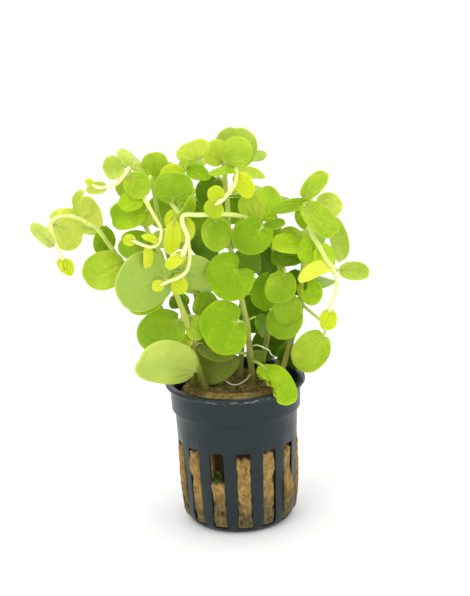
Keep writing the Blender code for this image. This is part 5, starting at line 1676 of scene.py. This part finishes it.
@dataclass
class WoolPlug:
    """The plug of mineral wool, its tongues in the slots, its fibres and a little moss."""

    columns: int = 26
    rows: int = 92
    top_rings: int = 34
    low_rings: int = 8
    top_fibres: int = 1500
    slot_fibres: int = 100
    moss_threads: int = 240
    seed: int = 7

    def radius(self, angle: np.ndarray, height: np.ndarray) -> tuple:
        """How far out the wool reaches.

        Args:
            angle: angle from the front toward the right.
            height: height above the foot.

        Returns:
            The radius, and how deep in shade it lies, from 0 to 1.
        """
        narrow = BODY_TOP_RADIUS - PLUG_SLACK - PLUG_TOP_RADIUS
        body = wall_radius(height) - PLUG_SLACK - 0.5 * ease(8.0, 1.0, height)
        body = body - narrow * ease(*NARROWING, height)
        out = body.copy()
        deep = np.zeros_like(out)
        index = np.rint((angle - FIRST_SLOT) / SLOT_PITCH).astype(int)
        across = (angle - FIRST_SLOT - index * SLOT_PITCH) * wall_radius(height)
        for i, wool in enumerate(SLOT_WOOL):
            here = (index % SLOT_COUNT) == i
            inside, tongue = wool.fill(i, across, height)
            out = np.where(here, body + (tongue - body) * inside, out)
            # Painted shade: where the wool leaves the slot open beside it, that place is marked to be
            # darkened.
            pit = (1 - inside) * ease(-0.7, 0.0, SLOT_WIDTH / 2 - np.abs(across))
            deep = np.where(here, pit * ease(31.5, 30.5, height), deep)
        hollow = ease(20.0, 21.5, height) * ease(33.0, 31.0, height) * ease(3.4, 2.4, np.abs(across))
        out = np.where(index % SLOT_COUNT == OPEN_SLOT, out - HOLLOW_DEPTH * hollow, out)
        return out, deep

    def build_plug(self, material: bpy.types.Material) -> None:
        """Model the plug from a cylinder whose wall is divided finely.

        Args:
            material: the wool.
        """
        count = self.columns * SLOT_COUNT
        depth = PLUG_TOP - PLUG_LOW
        deselect()
        bpy.ops.mesh.primitive_cylinder_add(vertices=count, radius=PLUG_TOP_RADIUS * MM,
                                            depth=depth * MM, end_fill_type="NOTHING",
                                            location=(0, 0, (PLUG_TOP + PLUG_LOW) / 2 * MM))
        plug = bpy.context.object
        bpy.ops.object.transform_apply(location=True, rotation=False, scale=False)
        upright = bmesh.new()
        upright.from_mesh(plug.data)
        bars = [edge for edge in upright.edges if abs(edge.verts[0].co.z - edge.verts[1].co.z) > MM]
        bmesh.ops.subdivide_edges(upright, edges=bars, cuts=self.rows - 1, use_grid_fill=True)
        for level, rings in ((PLUG_TOP, self.top_rings), (PLUG_LOW, self.low_rings)):
            rim = [edge for edge in upright.edges if edge.is_boundary
                   and abs(edge.verts[0].co.z / MM - level) < 0.01]
            before = PLUG_TOP_RADIUS
            for k in range(1, rings):
                made = bmesh.ops.extrude_edge_only(upright, edges=rim)["geom"]
                rim = [item for item in made if isinstance(item, bmesh.types.BMEdge)]
                verts = {vert for edge in rim for vert in edge.verts}
                now = PLUG_TOP_RADIUS * (1 - k / rings)
                for vert in verts:
                    vert.co.x *= now / before
                    vert.co.y *= now / before
                before = now
            hub = bmesh.ops.contextual_create(upright, geom=rim)["faces"]
            bmesh.ops.poke(upright, faces=hub)
        bmesh.ops.recalc_face_normals(upright, faces=upright.faces)
        upright.to_mesh(plug.data)
        upright.free()
        self.shape(plug.data)
        plug.data.shade_smooth()
        plug.data.materials.append(material)
        plug.name = "wool_plug_body"
        hand_over(plug, "wool", "wool_plug")

    @staticmethod
    def mound(points: np.ndarray) -> np.ndarray:
        """The wide lumps of the plug's top, from about -1 to 1."""
        return lumps(points, MOUND_PITCH, MOUND_SEED)

    def shape(self, mesh: bpy.types.Mesh) -> None:
        """Give the plug its tongues, its lumps and its hollows.

        Args:
            mesh: the plug's mesh.
        """
        points = read_points(mesh) / MM
        flat = np.hypot(points[:, 0], points[:, 1])
        angle = np.arctan2(points[:, 0], -points[:, 1])
        height = points[:, 2]
        side = flat > PLUG_TOP_RADIUS - 0.01
        out, deep = self.radius(angle, height)
        # The wall has its tongues and lumps, and stays back where the wool lies deep.
        big, fine, tiny = (lumps(points, pitch, pitch) for pitch in LUMP_PITCHES)
        shoulder = SHOULDER * ease(PLUG_TOP - 1.6, PLUG_TOP, height)
        free = 1 - ease(COLLAR_FOOT, COLLAR_FOOT + 3, height) * 0.3
        wall = out - shoulder + (0.20 * big + 0.18 * fine + 0.13 * tiny) * free
        bound = np.where(deep + (np.abs(height - 18) > 14.5) > 0.5, out, out + 0.35)
        wall = np.minimum(wall, bound)
        radius = np.where(side, wall, flat * ((PLUG_TOP_RADIUS - SHOULDER) / PLUG_TOP_RADIUS))
        # The top has mounds, a dry ledge at the front with a hole, and a dip at each stem.
        top = (height > PLUG_TOP - 0.01) & ~side
        mound = 0.9 * self.mound(points) + 0.55 * big + 0.42 * fine + 0.22 * tiny
        ledge = (ease(-9.0, -12.0, points[:, 1]) * ease(-12.0, -10.0, points[:, 0])
                 * ease(9.0, 6.5, points[:, 0]))
        x, y = FRONT_HOLE
        hole = np.exp(-(((points[:, 0] - x) / 0.9) ** 2 + ((points[:, 1] - y) / 0.8) ** 2))
        rise = mound * ease(PLUG_TOP_RADIUS, PLUG_TOP_RADIUS - 2.0, flat) + 0.8 * ledge - 2.4 * hole
        for stem in STEMS:
            x, y = stem.route[0][:2]
            away = (points[:, 0] - x) ** 2 + (points[:, 1] - y) ** 2
            rise -= DIP_DEPTH * np.exp(-away / DIP_WIDTH ** 2)
        height_now = np.where(top, height + rise, height)
        write_points(mesh, around(angle, radius, height_now) * MM)
        write_values(mesh, "damp", ease(*NARROWING, height) * (1 - 0.95 * ledge))
        # Painted shade in the slots' open gaps and in the front hole.
        write_values(mesh, "deep", np.clip(np.maximum(deep, np.where(top, hole, 0.0)), 0, 1))

    def fibre_blank(self) -> tuple:
        """Model one fibre: a thin three-sided rod along Z.

        Returns:
            Its vertices, from 0 to 1 along Z, and its faces.
        """
        deselect()
        bpy.ops.mesh.primitive_cylinder_add(vertices=3, radius=1.0, depth=1.0, end_fill_type="NGON")
        rod = bpy.context.object
        shape = bmesh.new()
        shape.from_mesh(rod.data)
        bars = [edge for edge in shape.edges if abs(edge.verts[0].co.z - edge.verts[1].co.z) > 0.5]
        bmesh.ops.subdivide_edges(shape, edges=bars, cuts=3, use_grid_fill=True)
        points = np.array([vert.co for vert in shape.verts])
        points[:, 2] += 0.5
        faces = [[vert.index for vert in face.verts] for face in shape.faces]
        shape.free()
        bpy.data.objects.remove(rod)
        return points, faces

    def fibres(self, name: str, starts: np.ndarray, ways: np.ndarray, lengths: np.ndarray,
               lift: np.ndarray, width: float, material: bpy.types.Material) -> bpy.types.Object:
        """Lay copies of the fibre.

        Args:
            name: the name of the piece.
            starts: where each fibre begins.
            ways: unit vector along each.
            lengths: length of each.
            lift: vector by which each bows out in its middle.
            width: radius of a fibre.
            material: what they are made of.

        Returns:
            All fibres as one mesh object.
        """
        rod, faces = self.fibre_blank()
        side = np.cross(ways, np.array((0.31, 0.22, 0.93)))
        side /= np.linalg.norm(side, axis=1, keepdims=True)
        across = np.cross(ways, side)
        along = rod[:, 2]
        taper = width * (1 - 0.6 * np.abs(2 * along - 1) ** 2)
        bow = 4 * along * (1 - along)
        points = (starts[:, None] + ways[:, None] * (lengths[:, None, None] * along[None, :, None])
                  + side[:, None] * (rod[:, 0] * taper)[None, :, None]
                  + across[:, None] * (rod[:, 1] * taper)[None, :, None]
                  + lift[:, None] * bow[None, :, None])
        mesh = bpy.data.meshes.new(name)
        shift = np.arange(len(starts)) * len(rod)
        polygons = [[v + s for v in face] for s in shift for face in faces]
        mesh.from_pydata((points.reshape(-1, 3) * MM).tolist(), [], polygons)
        mesh.materials.append(material)
        mesh.shade_smooth()
        return placed(name, mesh)

    def build_fibres(self, material: bpy.types.Material) -> None:
        """Scatter loose fibres over the top and over the tongues.

        Args:
            material: the wool.
        """
        draw = np.random.default_rng(self.seed)
        top = self.fibres("wool_top_fibres", *self.top_tufts(draw), TOP_FIBRE_RADIUS, material)
        front = read_points(top.data)[:, 1] / MM
        write_values(top.data, "damp", 0.75 - 0.7 * ease(-9.0, -13.0, front))
        groups = [self.slot_tufts(draw, i, wool) for i, wool in enumerate(SLOT_WOOL)]
        parts = (np.concatenate(part) for part in zip(*groups))
        slots = self.fibres("wool_slot_fibres", *parts, SLOT_FIBRE_RADIUS, material)
        write_values(slots.data, "damp", np.zeros(len(slots.data.vertices)))
        for piece in (top, slots):
            write_values(piece.data, "deep", np.zeros(len(piece.data.vertices)))
        hand_over(joined("wool_plug_fibres", (top, slots)), "wool", "wool_plug")

    def top_tufts(self, draw: np.random.Generator) -> tuple:
        """Scatter the fibres of the plug's top.

        Args:
            draw: the source of the random numbers.

        Returns:
            Starts, ways, lengths and bows, one row for each fibre.
        """
        count = self.top_fibres
        spot = draw.uniform(0, math.tau, count)
        out = (PLUG_TOP_RADIUS - 1.5) * np.sqrt(draw.uniform(0, 1, count))
        starts = around(spot, out, PLUG_TOP)
        starts[:, 2] += 0.9 * self.mound(starts) + draw.uniform(-0.2, 0.4, count)
        turn = draw.uniform(0, math.tau, count)
        ways = np.column_stack((np.cos(turn), np.sin(turn), draw.uniform(-0.15, 0.25, count)))
        ways /= np.linalg.norm(ways, axis=1, keepdims=True)
        lengths = draw.uniform(1.2, 3.6, count)
        inward = np.hypot(*(starts + ways * lengths[:, None])[:, :2].T) < PLUG_TOP_RADIUS - 0.3
        bows = draw.normal(0, 0.25, (count, 3)) + np.array((0, 0, 0.15))
        return starts[inward], ways[inward], lengths[inward], bows[inward]

    def slot_tufts(self, draw: np.random.Generator, number: int, wool: SlotWool) -> tuple:
        """Scatter the fibres of one slot.

        Args:
            draw: the source of the random numbers.
            number: the slot's number.
            wool: how the wool fills it.

        Returns:
            Starts, ways, lengths and bows, one row for each fibre.
        """
        count = self.slot_fibres
        height = draw.uniform(wool.low + 0.8, wool.top - 1.0, count)
        across = draw.uniform(-SLOT_WIDTH / 2 + wool.left + 0.3, SLOT_WIDTH / 2 - wool.right - 0.3, count)
        angle = FIRST_SLOT + SLOT_PITCH * number + across / wall_radius(height)
        lean = draw.normal(0, 0.55, count)
        ways = np.column_stack((np.cos(angle) * np.sin(lean), np.sin(angle) * np.sin(lean),
                                -np.cos(lean)))
        lengths = np.minimum(draw.uniform(1.0, 3.4, count), height - wool.low)
        lengths *= ease(3.4, 0.6, np.abs(across + np.sin(lean) * lengths))
        radius = self.radius(angle, height)[0] + draw.uniform(-0.12, 0.10, count)
        end_radius = self.radius(angle, height + ways[:, 2] * lengths)[0]
        slope = (end_radius - radius) / np.maximum(lengths, 0.3)
        bows = draw.uniform(0.0, 0.28, count)[:, None] * around(angle)
        return (around(angle, radius, height), ways + around(angle) * slope[:, None], lengths, bows)

    def build_moss(self, material: bpy.types.Material) -> None:
        """Let a tuft of moss grow in the slot that the wool leaves half open.

        Args:
            material: the moss.
        """
        draw = np.random.default_rng(self.seed + 1)
        count = self.moss_threads
        height = draw.uniform(19.6, 22.6, count)
        across = draw.uniform(-2.0, 0.9, count) - 0.4 * (height - 19.6)
        across = np.clip(across, -2.1, 1.0)
        angle = FIRST_SLOT + SLOT_PITCH * OPEN_SLOT + across / BODY_FOOT_RADIUS
        radius = self.radius(angle, height)[0] + draw.uniform(-0.2, 0.5, count)
        starts = around(angle, radius, height)
        ways = draw.normal(0.0, 1.0, (count, 3)) + np.array((0.0, -0.8, 0.9))
        ways /= np.linalg.norm(ways, axis=1, keepdims=True)
        bow = draw.normal(0.0, 0.25, (count, 3))
        moss = self.fibres("wool_plug_moss", starts, ways, draw.uniform(0.4, 1.2, count), bow,
                           MOSS_RADIUS, material)
        hand_over(moss, "wool", "wool_plug")

    def build(self) -> None:
        """Make the plug, its fibres and its moss."""
        finish = WoolFinish()
        self.build_plug(finish.material("wool_body", 0.0))
        self.build_fibres(finish.material("wool_fibre", 0.08))
        sheet = Palette("moss")
        green = sheet.steps(sheet.grain(700.0), ((0.35, (0.16, 0.26, 0.05)), (0.65, (0.42, 0.54, 0.20))))
        self.build_moss(sheet.finish(green, 0.7))


# Studio


@dataclass
class Studio:
    """The pale floor, the soft lights and the camera at the photograph's angle.

    camera: its place, in mm.
    pitch and roll: in degrees, down and against the clock.
    focal_pixels: focal length on a frame of 596 pixels' height.
    """

    camera: tuple = (1.2, -451.5, 205.6)
    pitch: float = 15.4
    roll: float = -2.44
    focal_pixels: float = 1336.0
    frame_pixels: float = 596.0
    sensor_mm: float = 36.0
    floor_m: float = 14.0

    def build(self) -> None:
        """Set up everything that isn't part of the object."""
        self.place_camera()
        self.lay_floor()
        self.light()

    def place_camera(self) -> None:
        """Stand the camera where the photograph was taken from."""
        pitch, roll = math.radians(self.pitch), math.radians(self.roll)
        forward = Vector((0, math.cos(pitch), -math.sin(pitch)))
        right = Vector((1, 0, 0))
        up = right.cross(forward)
        across = math.cos(roll) * right + math.sin(roll) * up
        above = math.cos(roll) * up - math.sin(roll) * right
        lens = bpy.data.cameras.new("camera")
        lens.sensor_width = self.sensor_mm
        lens.lens = self.focal_pixels * self.sensor_mm / self.frame_pixels
        lens.clip_start = 0.01
        lens.clip_end = 60.0
        holder = bpy.data.objects.new("camera", lens)
        bpy.context.scene.collection.objects.link(holder)
        turn = Matrix((across, above, -forward)).transposed().to_4x4()
        holder.matrix_world = Matrix.Translation(Vector(self.camera) * MM) @ turn
        bpy.context.scene.camera = holder

    def lay_floor(self) -> None:
        """Lay a large pale floor just under the pot's foot."""
        deselect()
        bpy.ops.mesh.primitive_plane_add(size=self.floor_m, location=(0, 0, -0.00003))
        floor = bpy.context.object
        floor.name = "floor"
        sheet = Palette("floor")
        tint = sheet.steps(sheet.grain(3.0), ((0.0, (0.965, 0.965, 0.965)), (1.0, (0.975, 0.975, 0.975))))
        floor.data.materials.append(sheet.finish(tint, 0.9, Specular_IOR_Level=0.1))

    def light(self) -> None:
        """Fill the room with soft white light and add three large soft boxes."""
        scene = bpy.context.scene
        scene.view_settings.view_transform = "Standard"
        scene.world = bpy.data.worlds.new("studio")
        scene.world.use_nodes = True
        background = scene.world.node_tree.nodes["Background"]
        background.inputs["Color"].default_value = (1.0, 1.0, 1.0, 1.0)
        background.inputs["Strength"].default_value = 1.08
        boxes = (("key", (-0.55, -0.75, 0.95), 0.8, 2.6), ("fill", (0.75, -0.45, 0.55), 0.7, 1.0),
                 ("top", (0.05, 0.25, 1.1), 1.0, 2.4))
        for name, place, size, watts in boxes:
            lamp = bpy.data.lights.new(name, "AREA")
            lamp.size = size
            lamp.energy = watts
            holder = bpy.data.objects.new(name, lamp)
            scene.collection.objects.link(holder)
            aim = Vector((0, 0, 0.07)) - Vector(place)
            turn = aim.to_track_quat("-Z", "Y").to_matrix().to_4x4()
            holder.matrix_world = Matrix.Translation(place) @ turn


def main() -> None:
    """Build the studio and every piece."""
    logging.basicConfig(level=logging.INFO, format="%(name)s: %(message)s")
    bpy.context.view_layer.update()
    Studio().build()
    NetPot().build()
    WoolPlug().build()
    Foliage().build()
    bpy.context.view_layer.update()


if __name__ == "__main__":
    main()
